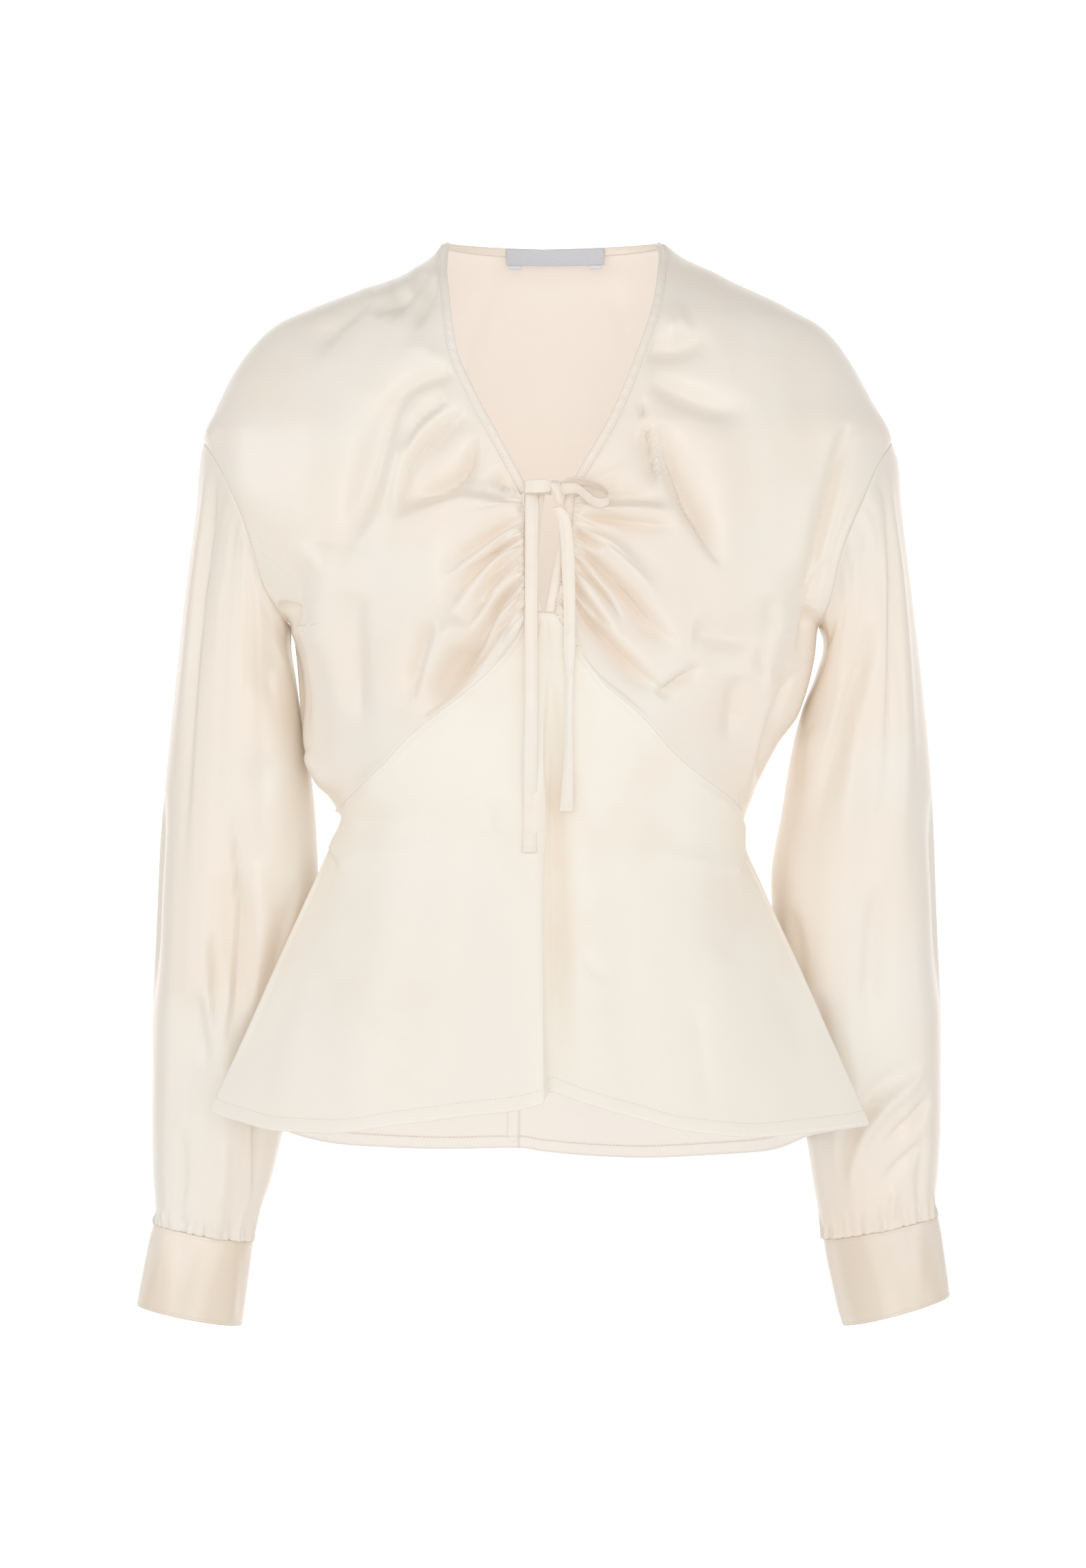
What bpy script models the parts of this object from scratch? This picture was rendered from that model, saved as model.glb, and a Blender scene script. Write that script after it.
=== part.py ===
"""Satin V-neck blouse with a keyhole, a tied neck cord, a gathered bust and a flared lower front.

The cloth is filled out as a general figure fills it, and is hollow. The front faces -Y, +Z is up
and the wearer's right is -X. The origin lies midway between the shoulders, level with the high
shoulder points. Tables are in millimetres and degrees.
"""

import bpy
import numpy as np

NAME = "blouse"
MM = 0.001

# Driving dimensions
CLOTH = 1.3  # wall of a single cloth panel
BAND = 1.6  # wall of the folded bands, strips and ties
CUFF = 2.0  # wall of a cuff, which is folded and stiffened
SEAM = 0.45  # half of the gap between two panels at a seam
NECK_BAND_WIDTH = 5.6
LABEL_SIZE = (66.0, 11.2, 0.9)
LABEL_PLACE = (8.3, -4.6)
LABEL_GAP = 2.5  # inside the neck seam
BUTTON_RADIUS, BUTTON_THICKNESS = 5.0, 2.4
BUTTON_SEAT = 0.35  # gap under a button
LOOP_WALL = 1.0
WAIST_RIGHT, WAIST_LEFT = -385.0, -388.0
WAIST_BACK = -386.0
HIGH_NECK_BACK = -4.0  # height of the neck seam at the centre back

# Looks: colour and roughness
SATIN = ((0.87, 0.80, 0.72), 0.42)
CUFF_SATIN = ((0.78, 0.69, 0.57), 0.42)
TAPE = ((0.74, 0.75, 0.80), 0.6)
HORN = ((0.86, 0.80, 0.70), 0.3)

# Counts and shared stations of the grids
SEAM_STEPS = (90, 80, 70, 60, 51)  # angles that the panels share along the cross seam
STEPS_RIGHT = (43.3, 35, 27, 20, 14.3, 9, 6.3, 4.4)
STEPS_LEFT = (43, 35.5, 28, 21, 14.5, 9.5, 5.7, 4.3)
NECK_STEPS, ARM_STEPS, SIDE_STEPS = 13, 10, 5
SHOULDER_HEIGHTS = (-1.5, -12, -26, -41, -55, -73, -100)
LOWER_ROWS, BACK_LOWER_COLUMNS, BACK_HALF_COLUMNS = 9, 9, 8
CUFF_COLUMNS, STRIP_ROWS, TAIL_ROWS, LOOP_ROWS, LABEL_COLUMNS = 29, 8, 15, 16, 8
BACK_NECK_STEPS = 14

# The body: half widths on the wearer's right and left, and depths in front and behind
BODY = np.array([
    # z, right, left, front, back
    (6, 62, 74, 3, 50),
    (0, 67, 80, 9, 55),
    (-9, 73, 91, 32, 62),
    (-21.5, 93, 116.5, 50, 70),
    (-33, 124, 139.5, 60, 75),
    (-45, 156, 165, 68, 80),
    (-56, 179, 184, 75, 84),
    (-79, 200, 204.5, 85, 91),
    (-105, 215, 219, 94, 97),
    (-134, 226.5, 233, 102, 101),
    (-160, 227.5, 234, 107, 103),
    (-190, 221.5, 229.5, 112, 103),
    (-215, 211, 221, 115.5, 102),
    (-235, 195, 209, 118, 101),
    (-248, 178, 196, 119, 100),
    (-257, 168, 183.5, 120, 99),
    (-277, 165, 181, 121.5, 98),
    (-315, 162, 171, 120, 95),
    (-335, 159.5, 157, 116.5, 92),
    (-350, 155, 149, 113, 89.5),
    (-372, 142, 139, 108, 87),
    (-387, 134.5, 134.5, 106, 86),
    (-400, 140.5, 134.8, 107.5, 88),
    (-430, 154, 146.5, 112, 95),
    (-480, 176.5, 169, 121, 107),
    (-530, 198.5, 191, 131, 121),
    (-580, 221.5, 213, 140, 137),
    (-630, 243, 233, 149, 151),
])

# Below the waist the side edges swing forward and the front's section opens out
FLARE = np.array([
    # z, side edge's y, power of the section
    (10, 0, 0.5),
    (-190, 0, 0.5),
    (-215, 0, 0.49),
    (-235, 0, 0.45),
    (-257, 0, 0.4),
    (-277, 0, 0.395),
    (-315, 0, 0.425),
    (-350, 0, 0.46),
    (-386, 0, 0.5),
    (-420, -9, 0.6),
    (-480, -22, 0.8),
    (-540, -32, 0.95),
    (-590, -40, 1.0),
    (-640, -48, 1.0),
])

# Seam where the front bodice meets the neck band, from the high shoulder point to the keyhole
NECK_RIGHT = np.array([
    # x, z
    (-67, 0),
    (-68.6, -8),
    (-68.8, -22),
    (-67, -41),
    (-61.6, -80),
    (-49.4, -109),
    (-32, -142),
    (-14, -175),
])
NECK_LEFT = np.array([
    (80, 0),
    (82.4, -8),
    (81, -25),
    (78, -45),
    (65.6, -84.5),
    (47.6, -127.5),
    (32, -155),
    (21, -174),
])

# Gathered edges beside the keyhole, and the strips sewn to them
STRIP_RIGHT = np.array([
    # z, outer x, inner x
    (-175, -12.4, 1.2),
    (-190, -11.8, -1.0),
    (-206, -12.2, -2.3),
    (-228, -11.8, -3.8),
    (-239, -11.6, -3.0),
    (-250.9, -11.4, 0.1),
])
STRIP_LEFT = np.array([
    (-174, 20.8, 14.2),
    (-195, 18.6, 11.4),
    (-212, 15.2, 8.8),
    (-229, 12.0, 5.4),
    (-251.3, 8.3, 0.9),
])

# Armholes from the shoulder tip to the underarm
ARM_RIGHT = np.array([
    # z, x
    (-134, 226.5),
    (-145, 218.5),
    (-167, 206.5),
    (-187, 197.5),
    (-208, 191),
    (-232, 184),
    (-249, 173.5),
    (-257, 168),
])
ARM_LEFT = np.array([
    (-134, 233),
    (-151, 221.5),
    (-176, 210),
    (-193, 202.5),
    (-213, 195.5),
    (-238, 190),
    (-252, 185),
    (-257, 183.5),
])

# Seam between the bodice and the lower front, round the body from right side to left side
CROSS_SEAM = np.array([
    # angle, z
    (-90, -385),
    (-62, -370),
    (-43.3, -351),
    (-31, -327.5),
    (-14.3, -294.5),
    (-6.3, -270.2),
    (-4.4, -260),
    (-3.6, -252.8),
    (-1.1, -251.4),
    (2.6, -252.6),
    (4.3, -259.6),
    (5.7, -267.6),
    (13.1, -298),
    (16.3, -305.5),
    (39.3, -350),
    (62, -371),
    (90, -388),
])

# Front hem, with the step of the centre fold
FRONT_HEM = np.array([
    # angle, z
    (-90, -576),
    (-64, -583),
    (-49, -588),
    (-39, -588),
    (-24, -580.5),
    (-12, -574),
    (0, -565.5),
    (1.6, -559),
    (6, -564.5),
    (17.6, -577.5),
    (27, -586),
    (41, -590.5),
    (54, -589),
    (90, -585.5),
])
FOLD_ANGLE = (0.3, 1.5)  # the front edge of the centre fold and the foot of its step
FOLD_DEPTH = np.array([
    # z, depth
    (-300, 0),
    (-360, 2),
    (-420, 6),
    (-500, 10.5),
    (-560, 13.5),
    (-640, 14),
])

# Broad folds of the front: from, to, half width, height
FRONT_FOLDS = (
    ((-104, -108), (-125, -205), 13, -3.5),
    ((-84, -115), (-99, -215), 12, 2.5),
    ((64, -125), (78, -185), 10, -2.5),
    ((158, -265), (136, -370), 9, 3.5),
    ((-150, -270), (-128, -360), 9, 3.0),
    ((96, -400), (132, -600), 20, 4.0),
    ((-92, -400), (-128, -600), 20, 4.0),
    ((48, -420), (62, -600), 14, -3.0),
    ((-44, -420), (-60, -600), 14, -3.0),
)

# Lower back: sections at seven places from the centre to the side edge
BACK_LEVELS = np.array([WAIST_BACK, -440.0, -500.0, -578.0, -625.0])
BACK_SECTIONS = np.array([
    # (x, y) from the centre back to the side
    ((0, 86), (41, 82), (78, 70.5), (106, 53), (124, 33.5), (132.5, 14), (134.5, 0.4)),
    ((0, 98), (46, 95), (88, 84), (120, 61), (138, 32), (147, 6), (156, -12)),
    ((0, 114), (48, 112), (94, 100), (130, 74), (148, 42), (160, 6), (182.5, -23)),
    ((0, 137), (52, 135), (104, 122), (142, 92), (162, 54), (180, 5), (217.5, -35.5)),
    ((0, 151), (56, 149), (112, 134), (152, 102), (172, 60), (190, 8), (236, -44)),
])
BACK_HEM = np.array([
    # place, z: the place runs from -1 at the right side edge through 0 to 1 at the left
    (-1, -577),
    (-0.84, -589),
    (-0.68, -600),
    (-0.54, -607),
    (-0.36, -614),
    (-0.2, -616.8),
    (-0.05, -616.3),
    (0, -619),
    (0.1, -622),
    (0.2, -623),
    (0.35, -620),
    (0.57, -612.5),
    (0.8, -598.5),
    (1, -587),
])
CENTRE_BACK_X = -17.0  # the seam twists a little off the centre

# Sleeves: each row is a ring, given by its outermost and innermost points
SLEEVE_RIGHT = np.array([
    # outer x, outer z, inner x, inner z, centre y, half depth
    (229.5, -148, 168, -268, 3, 50),
    (233, -180, 165.5, -290, 9, 52),
    (239.5, -230, 163.2, -316, 15, 53),
    (247, -290, 158.4, -344, 20, 54),
    (254, -350, 154, -382, 25, 54),
    (260, -415, 151.8, -428, 29, 54),
    (263, -480, 155.5, -484, 33, 53),
    (264.5, -540, 164, -541, 37, 51),
    (265, -592, 175, -594, 40, 47),
    (264.5, -626, 184, -630, 42, 43),
    (263, -646, 193, -656, 43, 39),
    (262.8, -657.9, 196, -670.4, 43, 34),
])
SLEEVE_LEFT = np.array([
    (236.5, -148, 184.8, -268, 4, 50),
    (241, -180, 181.2, -287, 10, 52),
    (247, -230, 174, -312, 15, 53),
    (254.5, -290, 166.8, -342, 20, 54),
    (260.5, -350, 161, -380, 25, 54),
    (264.5, -415, 154, -427, 29, 54),
    (267.5, -480, 156.5, -483, 33, 53),
    (269.5, -540, 165.5, -541, 37, 51),
    (270, -592, 177, -594, 40, 47),
    (268.5, -625, 182.5, -630, 42, 43),
    (267, -643, 187, -656, 43, 39),
    (267, -653, 189.5, -668.7, 43, 34),
])

# Folds along a sleeve: angle round it (0 outside, 90 in front), from z, to z, half width, height
FOLDS_RIGHT = (
    (42, -140, -300, 16, -3.5),
    (95, -385, -520, 17, -5.0),
    (62, -490, -560, 15, -4.0),
    (120, -260, -420, 18, 3.5),
    (230, -200, -420, 22, -4.0),
    (300, -360, -600, 22, 3.5),
)
FOLDS_LEFT = (
    (60, -200, -440, 18, 4.5),
    (100, -230, -330, 18, -4.0),
    (85, -400, -560, 20, -3.5),
    (135, -380, -520, 16, 3.5),
    (230, -220, -460, 22, -4.0),
    (300, -340, -580, 22, 3.5),
)

# Cuffs: top and bottom edges, each from its outer to its inner point
CUFF_RIGHT = ((263.2, -658.5, 196.2, -671), (275, -714, 203.6, -728))
CUFF_LEFT = ((267.3, -653.6, 189.7, -669.3), (275.5, -708, 203, -728))
CUFF_CENTRE_Y, CUFF_HALF_DEPTH = 43.0, 33.0
CUFF_LAP = (215.0, 32.0)  # where the lap begins, and the angle that it covers

# Hanging ties: the two edges of the strip, and how far it stands off the cloth below it
TIE_RIGHT = np.array([
    # one edge x, z, other edge x, z, off
    (5.3, -175.6, 5.3, -181.8, 2.4),
    (-0.5, -175.4, -0.8, -181.2, 2.4),
    (-6, -175.6, -3.4, -181.8, 2.4),
    (-10.3, -178, -3.2, -184, 2.4),
    (-11.4, -184, -3.4, -188, 2.4),
    (-11.6, -203, -3.2, -203, 2.4),
    (-11.8, -251, -3.6, -251, 2.3),
    (-11.8, -296, -3.4, -296, 2.2),
    (-12.5, -337, -3.6, -337, 2.6),
    (-13.0, -373, -4.0, -373, 3.4),
    (-13.6, -406, -4.1, -406, 4.0),
])
TIE_LEFT = np.array([
    (6.0, -183.6, 12.4, -183.2, 2.4),
    (9.8, -194, 17.2, -189.3, 2.6),
    (11.0, -203, 19.0, -199.5, 2.6),
    (11.9, -222, 20.7, -222, 2.6),
    (13.0, -248, 20.9, -248, 2.5),
    (13.2, -272, 20.9, -272, 2.4),
    (14.6, -297, 20.0, -297, 2.4),
    (14.3, -330, 19.5, -330, 2.9),
    (12.5, -357, 19.8, -357, 4.0),
    (10.6, -380, 19.8, -380, 4.9),
])
# Bow loops: the two edges of the strip
LOOP_RIGHT = np.array([
    # upper edge x, y, z, lower edge x, y, z
    (5.0, -116.8, -166.8, 5.0, -116.2, -173.6),
    (0, -119.0, -165.8, 0, -117.8, -174.6),
    (-7, -118.2, -166.2, -7, -116.8, -174.8),
    (-11, -115.4, -166.6, -11, -114.4, -174.4),
    (-9.6, -112.6, -166.8, -9.6, -111.8, -174.0),
    (-4, -111.8, -167.0, -4, -111.6, -173.6),
    (5.0, -113.4, -167.4, 5.0, -113.2, -173.0),
])
LOOP_LEFT = np.array([
    (11.4, -117.4, -168.4, 11.6, -115.4, -176.2),
    (20, -122.2, -168.8, 21, -117.4, -175.2),
    (26, -124.2, -172.4, 26, -118.2, -178.8),
    (31.5, -124.8, -177.2, 31, -118.8, -182.8),
    (37, -124, -178.8, 36.8, -118.6, -184.6),
    (41.4, -121.6, -177.4, 42.2, -116.4, -182.4),
    (42.6, -118.6, -173.8, 43.4, -113, -178.2),
    (38.5, -117.6, -169.4, 39.3, -112, -173.4),
    (31, -117, -166.2, 31.8, -111.6, -170.0),
    (22, -116, -164.2, 23, -111.8, -168.8),
    (16, -115, -165.2, 17, -112.2, -170.4),
    (11.2, -114.4, -167.2, 11.4, -113.2, -172.2),
])
KNOT = (
    # centre x, y, z, half width, half depth
    (8.2, -115.4, -166.6, 2.2, 1.6),
    (8.4, -116.0, -168.6, 2.5, 3.4),
    (8.6, -116.4, -174.0, 2.3, 3.9),
    (9.0, -116.2, -179.0, 2.7, 3.4),
    (9.2, -115.4, -182.4, 2.6, 2.0),
)


def through(rows, at, column=1):
    """A column's values at the given keys, on a curve that never overshoots its rows."""
    order = np.argsort(rows[:, 0])
    keys, values = rows[order, 0].astype(float), rows[order, column].astype(float)
    step = np.diff(keys)
    slope = np.diff(values) / step
    bend = np.zeros_like(values)
    bend[0], bend[-1] = slope[0], slope[-1]
    before, after = slope[:-1], slope[1:]
    same = before * after > 0
    near, far = 2 * step[1:] + step[:-1], step[1:] + 2 * step[:-1]
    safe_before, safe_after = np.where(same, before, 1), np.where(same, after, 1)
    bend[1:-1] = np.where(same, (near + far) / (near / safe_before + far / safe_after), 0)
    at = np.clip(np.asarray(at, float), keys[0], keys[-1])
    i = np.clip(np.searchsorted(keys, at) - 1, 0, len(step) - 1)
    t = (at - keys[i]) / step[i]
    return (
        values[i] * (1 + 2 * t) * (1 - t) ** 2
        + values[i + 1] * t * t * (3 - 2 * t)
        + step[i] * t * (1 - t) * (bend[i] * (1 - t) - bend[i + 1] * t)
    )


def along(rows, share):
    """Points of a table at shares of its length, on a smooth curve."""
    run = np.concatenate([[0], np.cumsum(np.linalg.norm(np.diff(rows, axis=0), axis=1))])
    keyed = np.column_stack([run / run[-1], rows])
    return np.column_stack([through(keyed, share, 1 + c) for c in range(rows.shape[1])])


def half_width(z, side):
    return through(BODY, z, 1 if side < 0 else 2)


def both_widths(z, right_side):
    return np.where(right_side, half_width(z, -1), half_width(z, 1))


def rise(points, start, end, width):
    """1 on a fold's line, falling softly to 0 at its half width and towards its ends."""
    start, end = np.asarray(start, float), np.asarray(end, float)
    line = end - start
    place = ((points - start) @ line) / (line @ line)
    off = np.linalg.norm(points - start - np.clip(place, 0, 1)[..., None] * line, axis=-1)
    ends = np.clip(1 - (2 * place - 1) ** 4, 0, 1) * ((place > 0) & (place < 1))
    return np.exp(-((off / width) ** 2)) * ends


def front(angle, z, out=0.0):
    """Points of the front at angles from the centre (right is negative) and heights."""
    angle, z = np.broadcast_arrays(np.asarray(angle, float), np.asarray(z, float))
    turn = np.radians(angle)
    x = both_widths(z, angle < 0) * np.sin(turn)
    side = through(FLARE, z, 1)
    depth = through(BODY, z, 3) + side
    y = side - depth * np.clip(np.cos(turn), 0, 1) ** (2 * through(FLARE, z, 2))
    flat = np.stack([x, z], axis=-1)
    away = np.clip((90 - np.abs(angle)) / 20, 0, 1)
    for start, end, width, height in FRONT_FOLDS:
        y = y - height * rise(flat, start, end, width) * away
    edge, foot = FOLD_ANGLE
    left_of_fold = np.exp(-np.clip((edge - angle) / 13, 0, None) ** 1.4)
    step = np.clip((foot - angle) / (foot - edge), 0, 1)
    y = y - through(FOLD_DEPTH, z) * np.where(angle <= edge, left_of_fold, step)
    return np.stack([x, y - SEAM - out, z], axis=-1)


def front_at(x, z, out=0.0):
    """Points of the front above points (x, z) of the front view."""
    x, z = np.broadcast_arrays(np.asarray(x, float), np.asarray(z, float))
    share = np.clip(x / both_widths(z, x < 0), -1, 1)
    return front(np.degrees(np.arcsin(share)), z, out)


def back(angle, z, out=0.0):
    """Points of the back bodice at angles from the centre back (right is negative)."""
    angle, z = np.broadcast_arrays(np.asarray(angle, float), np.asarray(z, float))
    turn = np.radians(angle)
    x = both_widths(z, angle < 0) * np.sin(turn)
    y = through(BODY, z, 4) * np.clip(np.cos(turn), 0, 1) ** (2 * through(FLARE, z, 2))
    return np.stack([x, y + SEAM + out, z], axis=-1)


def angle_at(x, z, side):
    return np.degrees(np.arcsin(np.clip(np.abs(x) / half_width(z, side), 0, 1)))


def make_material(name, look):
    colour, roughness = look
    material = bpy.data.materials.new(name)
    material.use_nodes = True
    shader = material.node_tree.nodes["Principled BSDF"]
    shader.inputs["Base Color"].default_value = (*colour, 1)
    shader.inputs["Roughness"].default_value = roughness
    shader.inputs["Metallic"].default_value = 0
    return material


def add_piece(collection, name, vertices, faces, look, wall=None):
    """A named piece from points in millimetres, with a wall inwards of its faces."""
    mesh = bpy.data.meshes.new(name)
    mesh.from_pydata([tuple(p) for p in np.asarray(vertices, float) * MM], [], faces)
    mesh.shade_smooth()
    mesh.materials.append(make_material(f"{name}_look", look))
    piece = bpy.data.objects.new(name, mesh)
    collection.objects.link(piece)
    if wall:
        solid = piece.modifiers.new("wall", "SOLIDIFY")
        solid.thickness = wall * MM
        solid.offset = -1
        solid.use_quality_normals = True


def sheet(collection, name, grid, look, wall, closed=False, flip=False):
    """A shell over a grid of points; closed joins its last column to its first."""
    rows, columns = grid.shape[:2]
    faces = []
    for r in range(rows - 1):
        for c in range(columns if closed else columns - 1):
            d = (c + 1) % columns
            face = (r * columns + c, r * columns + d, (r + 1) * columns + d, (r + 1) * columns + c)
            faces.append(face[::-1] if flip else face)
    add_piece(collection, name, grid.reshape(-1, 3), faces, look, wall)


def arm_stations(side):
    """Heights and angles down an armhole."""
    rows = along(ARM_RIGHT if side < 0 else ARM_LEFT, np.linspace(0, 1, ARM_STEPS + 1))
    return np.column_stack([rows[:, 0], angle_at(rows[:, 1], rows[:, 0], side)])


def neck_stations(side):
    """Points (x, z) down the neck seam, closer together near the shoulder."""
    line = (NECK_RIGHT if side < 0 else NECK_LEFT).astype(float)
    line[0, 1] = SHOULDER_HEIGHTS[0]
    return along(line, np.linspace(0, 1, NECK_STEPS + 1) ** 1.3)


def outer_stations(side):
    """Heights and angles down the bodice's outer edge: shoulder, armhole and side seam."""
    waist = WAIST_RIGHT if side < 0 else WAIST_LEFT
    shoulder = [(z, 90.0) for z in SHOULDER_HEIGHTS]
    arm = arm_stations(side)
    seam = [(z, 90.0) for z in np.linspace(arm[-1, 0], waist, SIDE_STEPS + 1)[1:]]
    return np.vstack([shoulder, arm, seam])


def front_bodice(side):
    """Grid of one front bodice: rows run from the neck and gathered edge to the outer edge."""
    outer = outer_stations(side)
    neck = neck_stations(side)
    strip = STRIP_RIGHT if side < 0 else STRIP_LEFT
    steps = np.array((STEPS_RIGHT if side < 0 else STEPS_LEFT)[::-1] + SEAM_STEPS[::-1])
    gathered = strip[1:, [1, 0]] + (side * SEAM, 0)
    foot_z = through(CROSS_SEAM, side * steps[0]) + SEAM
    foot = front(side * steps[0], foot_z)[[0, 2]]
    beside = along(np.vstack([neck[-1], gathered, foot]), np.linspace(0, 1, len(outer) - NECK_STEPS))
    inner = np.vstack([neck, beside[1:]])
    start = np.array([float(angle_at(x, z, side)) for x, z in inner])
    columns = (steps - steps[0]) / (steps[-1] - steps[0])
    angle = start[:, None] + (outer[:, 1] - start)[:, None] * columns
    z = inner[:, 1][:, None] + (outer[:, 0] - inner[:, 1])[:, None] * columns
    seam_z = through(CROSS_SEAM, side * angle[-1]) + SEAM
    share = (np.linspace(0, 1, len(outer)) ** 2.5)[:, None]
    z = z + share * (seam_z - z[-1])[None, :]
    return front(side * angle, z)


def front_lower():
    right = [-a for a in SEAM_STEPS + STEPS_RIGHT] + [-3.6, -1.1]
    left = [*FOLD_ANGLE, 2.6, *STEPS_LEFT[::-1], *SEAM_STEPS[::-1]]
    angles = np.array(right + left)
    top, hem = through(CROSS_SEAM, angles) - SEAM, through(FRONT_HEM, angles)
    down = np.linspace(0, 1, LOWER_ROWS + 1)[:, None]
    return front(angles[None, :], top + (hem - top) * down)


def back_bodice():
    halves = []
    for side in (-1, 1):
        outer = outer_stations(side)
        down = np.linspace(0, 1, len(outer)) ** 1.15
        inner_z = HIGH_NECK_BACK + (WAIST_RIGHT - HIGH_NECK_BACK) * down
        columns = np.linspace(0, 1, BACK_HALF_COLUMNS + 1)
        angle = outer[:, 1][:, None] * columns
        z = inner_z[:, None] + (outer[:, 0] - inner_z)[:, None] * columns
        z[-1] += SEAM
        halves.append(back(side * angle, z))
    return np.concatenate([halves[0][:, ::-1], halves[1][:, 1:]], axis=1)


def back_lower_point(place, z, out=0.0):
    """Points of the lower back at places from -1 (right side) to 1 (left side)."""
    place, z = np.broadcast_arrays(np.asarray(place, float), np.asarray(z, float))
    keys = np.linspace(0, 1, BACK_SECTIONS.shape[1])
    levels = []
    for section in BACK_SECTIONS:
        rows = np.column_stack([keys, section])
        levels.append(np.stack([through(rows, np.abs(place), c) for c in (1, 2)], axis=-1))
    levels = np.stack(levels)
    at = np.clip(np.interp(-z, -BACK_LEVELS, np.arange(len(BACK_LEVELS))), 0, len(levels) - 1)
    low = np.clip(at.astype(int), 0, len(levels) - 2)
    share = (at - low)[..., None]
    index = np.indices(place.shape)
    flat = levels[(low, *index)] * (1 - share) + levels[(low + 1, *index)] * share
    edge_x, edge_y = (np.interp(-z, -BACK_LEVELS, BACK_SECTIONS[:, -1, c]) for c in (0, 1))
    near_edge = np.abs(place) ** 5
    stretch = 1 + (both_widths(z, place < 0) / edge_x - 1) * near_edge
    y = flat[..., 1] + (through(FLARE, z, 1) - edge_y) * near_edge
    return np.stack([flat[..., 0] * np.sign(place) * stretch, y + SEAM + out, z], axis=-1)


def back_lower(side):
    centre = CENTRE_BACK_X / 330
    start, end = (-1, centre - 0.001) if side < 0 else (centre + 0.001, 1)
    places = np.linspace(start, end, BACK_LOWER_COLUMNS + 1)
    waist = WAIST_RIGHT if side < 0 else WAIST_LEFT
    top, hem = np.full_like(places, WAIST_RIGHT) - SEAM, through(BACK_HEM, places)
    top = top + (waist - WAIST_RIGHT) * np.clip(places, 0, 1)
    down = np.linspace(0, 1, LOWER_ROWS + 1)[:, None]
    return back_lower_point(places[None, :], top + (hem - top) * down)


def armhole(side):
    """One armhole as a loop: shoulder tip, front, underarm, back."""
    z, angle = arm_stations(side).T
    forward, behind = front(side * angle, z), back(side * angle, z)
    return np.concatenate([forward, behind[-2:0:-1]])


def sleeve(side):
    """Rings of a sleeve from its armhole to its cuff, with the folds along it."""
    rings = SLEEVE_RIGHT if side < 0 else SLEEVE_LEFT
    folds = FOLDS_RIGHT if side < 0 else FOLDS_LEFT
    degrees = np.linspace(0, 360, 2 * ARM_STEPS, endpoint=False)
    turn = np.radians(degrees)
    hole = armhole(side)
    axis = np.array([side * 0.9, 0, -0.43])
    grid = [hole + axis * 1.1]
    for i, (x0, z0, x1, z1, y, depth) in enumerate(rings):
        centre = np.array([(x0 + x1) / 2 * side, y, (z0 + z1) / 2])
        across = np.array([(x0 - x1) / 2 * side, 0, (z0 - z1) / 2])
        ring = centre + np.cos(turn)[:, None] * across
        ring[:, 1] -= depth * np.sin(turn)
        for angle, top, bottom, width, height in folds:
            near = (degrees - angle + 180) % 360 - 180
            place = (centre[2] - bottom) / (top - bottom)
            lift = np.sin(np.pi * np.clip(place, 0, 1)) ** 0.7
            push = height * lift * np.exp(-((near / width) ** 2))
            ring += (ring - centre) / np.linalg.norm(ring - centre, axis=1)[:, None] * push[:, None]
        share = (0.45, 0.8)[i] if i < 2 else 1
        moved = hole + (centre - hole.mean(axis=0))
        grid.append(moved * (1 - share) + ring * share)
    return np.array(grid)


def cuff_points(side, degrees, down, inset=0.0):
    """Points of a cuff at angles round it and shares of the way down it."""
    top, bottom = CUFF_RIGHT if side < 0 else CUFF_LEFT
    degrees, down = np.broadcast_arrays(np.asarray(degrees, float), np.asarray(down, float))
    turn = np.radians(degrees)
    edge = [np.asarray(top, float) * (1 - d) + np.asarray(bottom, float) * d for d in down.ravel()]
    x0, z0, x1, z1 = (np.array([e[i] for e in edge]).reshape(down.shape) for i in range(4))
    reach = np.hypot(x0 - x1, z0 - z1) / 2
    along_x, along_z = (x0 - x1) / 2 * (1 - inset / reach), (z0 - z1) / 2 * (1 - inset / reach)
    x = (x0 + x1) / 2 + np.cos(turn) * along_x
    z = (z0 + z1) / 2 + np.cos(turn) * along_z
    y = CUFF_CENTRE_Y - (CUFF_HALF_DEPTH - inset) * np.sin(turn)
    return np.stack([x * side, y, z], axis=-1)


def cuff(side):
    """A cuff as one band whose end passes under its beginning."""
    start, lap = CUFF_LAP
    degrees = np.linspace(start, start + 360 + lap, CUFF_COLUMNS + 1)
    under = np.clip((degrees - start - 360 + 28) / 24, 0, 1)
    inset = (CUFF + 0.5) * under * under * (3 - 2 * under)
    down = np.linspace(0, 1, 3)[:, None]
    return cuff_points(side, degrees[None, :], down, inset[None, :])


def cuff_button(collection, side):
    """A flat round button on the lap of a cuff."""
    start, lap = CUFF_LAP
    degrees, down = start + lap * 0.55, 0.5
    seat = cuff_points(side, degrees, down)
    ahead = cuff_points(side, degrees + 2, down) - seat
    lower = cuff_points(side, degrees, down + 0.1) - seat
    normal = np.cross(ahead, lower) * side
    normal /= np.linalg.norm(normal)
    ahead /= np.linalg.norm(ahead)
    lower = np.cross(normal, ahead)
    turn = np.radians(np.arange(0, 360, 20))
    profile = ((0, 0.86), (0.3, 1), (0.75, 1), (1, 0.9))
    rings = []
    for height, share in profile:
        centre = seat + normal * (BUTTON_SEAT + BUTTON_THICKNESS * height)
        radius = BUTTON_RADIUS * share
        rings.append(centre + radius * (np.cos(turn)[:, None] * ahead + np.sin(turn)[:, None] * lower))
    vertices, faces = tube_of_rings(rings)
    add_piece(collection, f"cuff_button_{side_word(side)}", vertices, faces, HORN)


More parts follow.
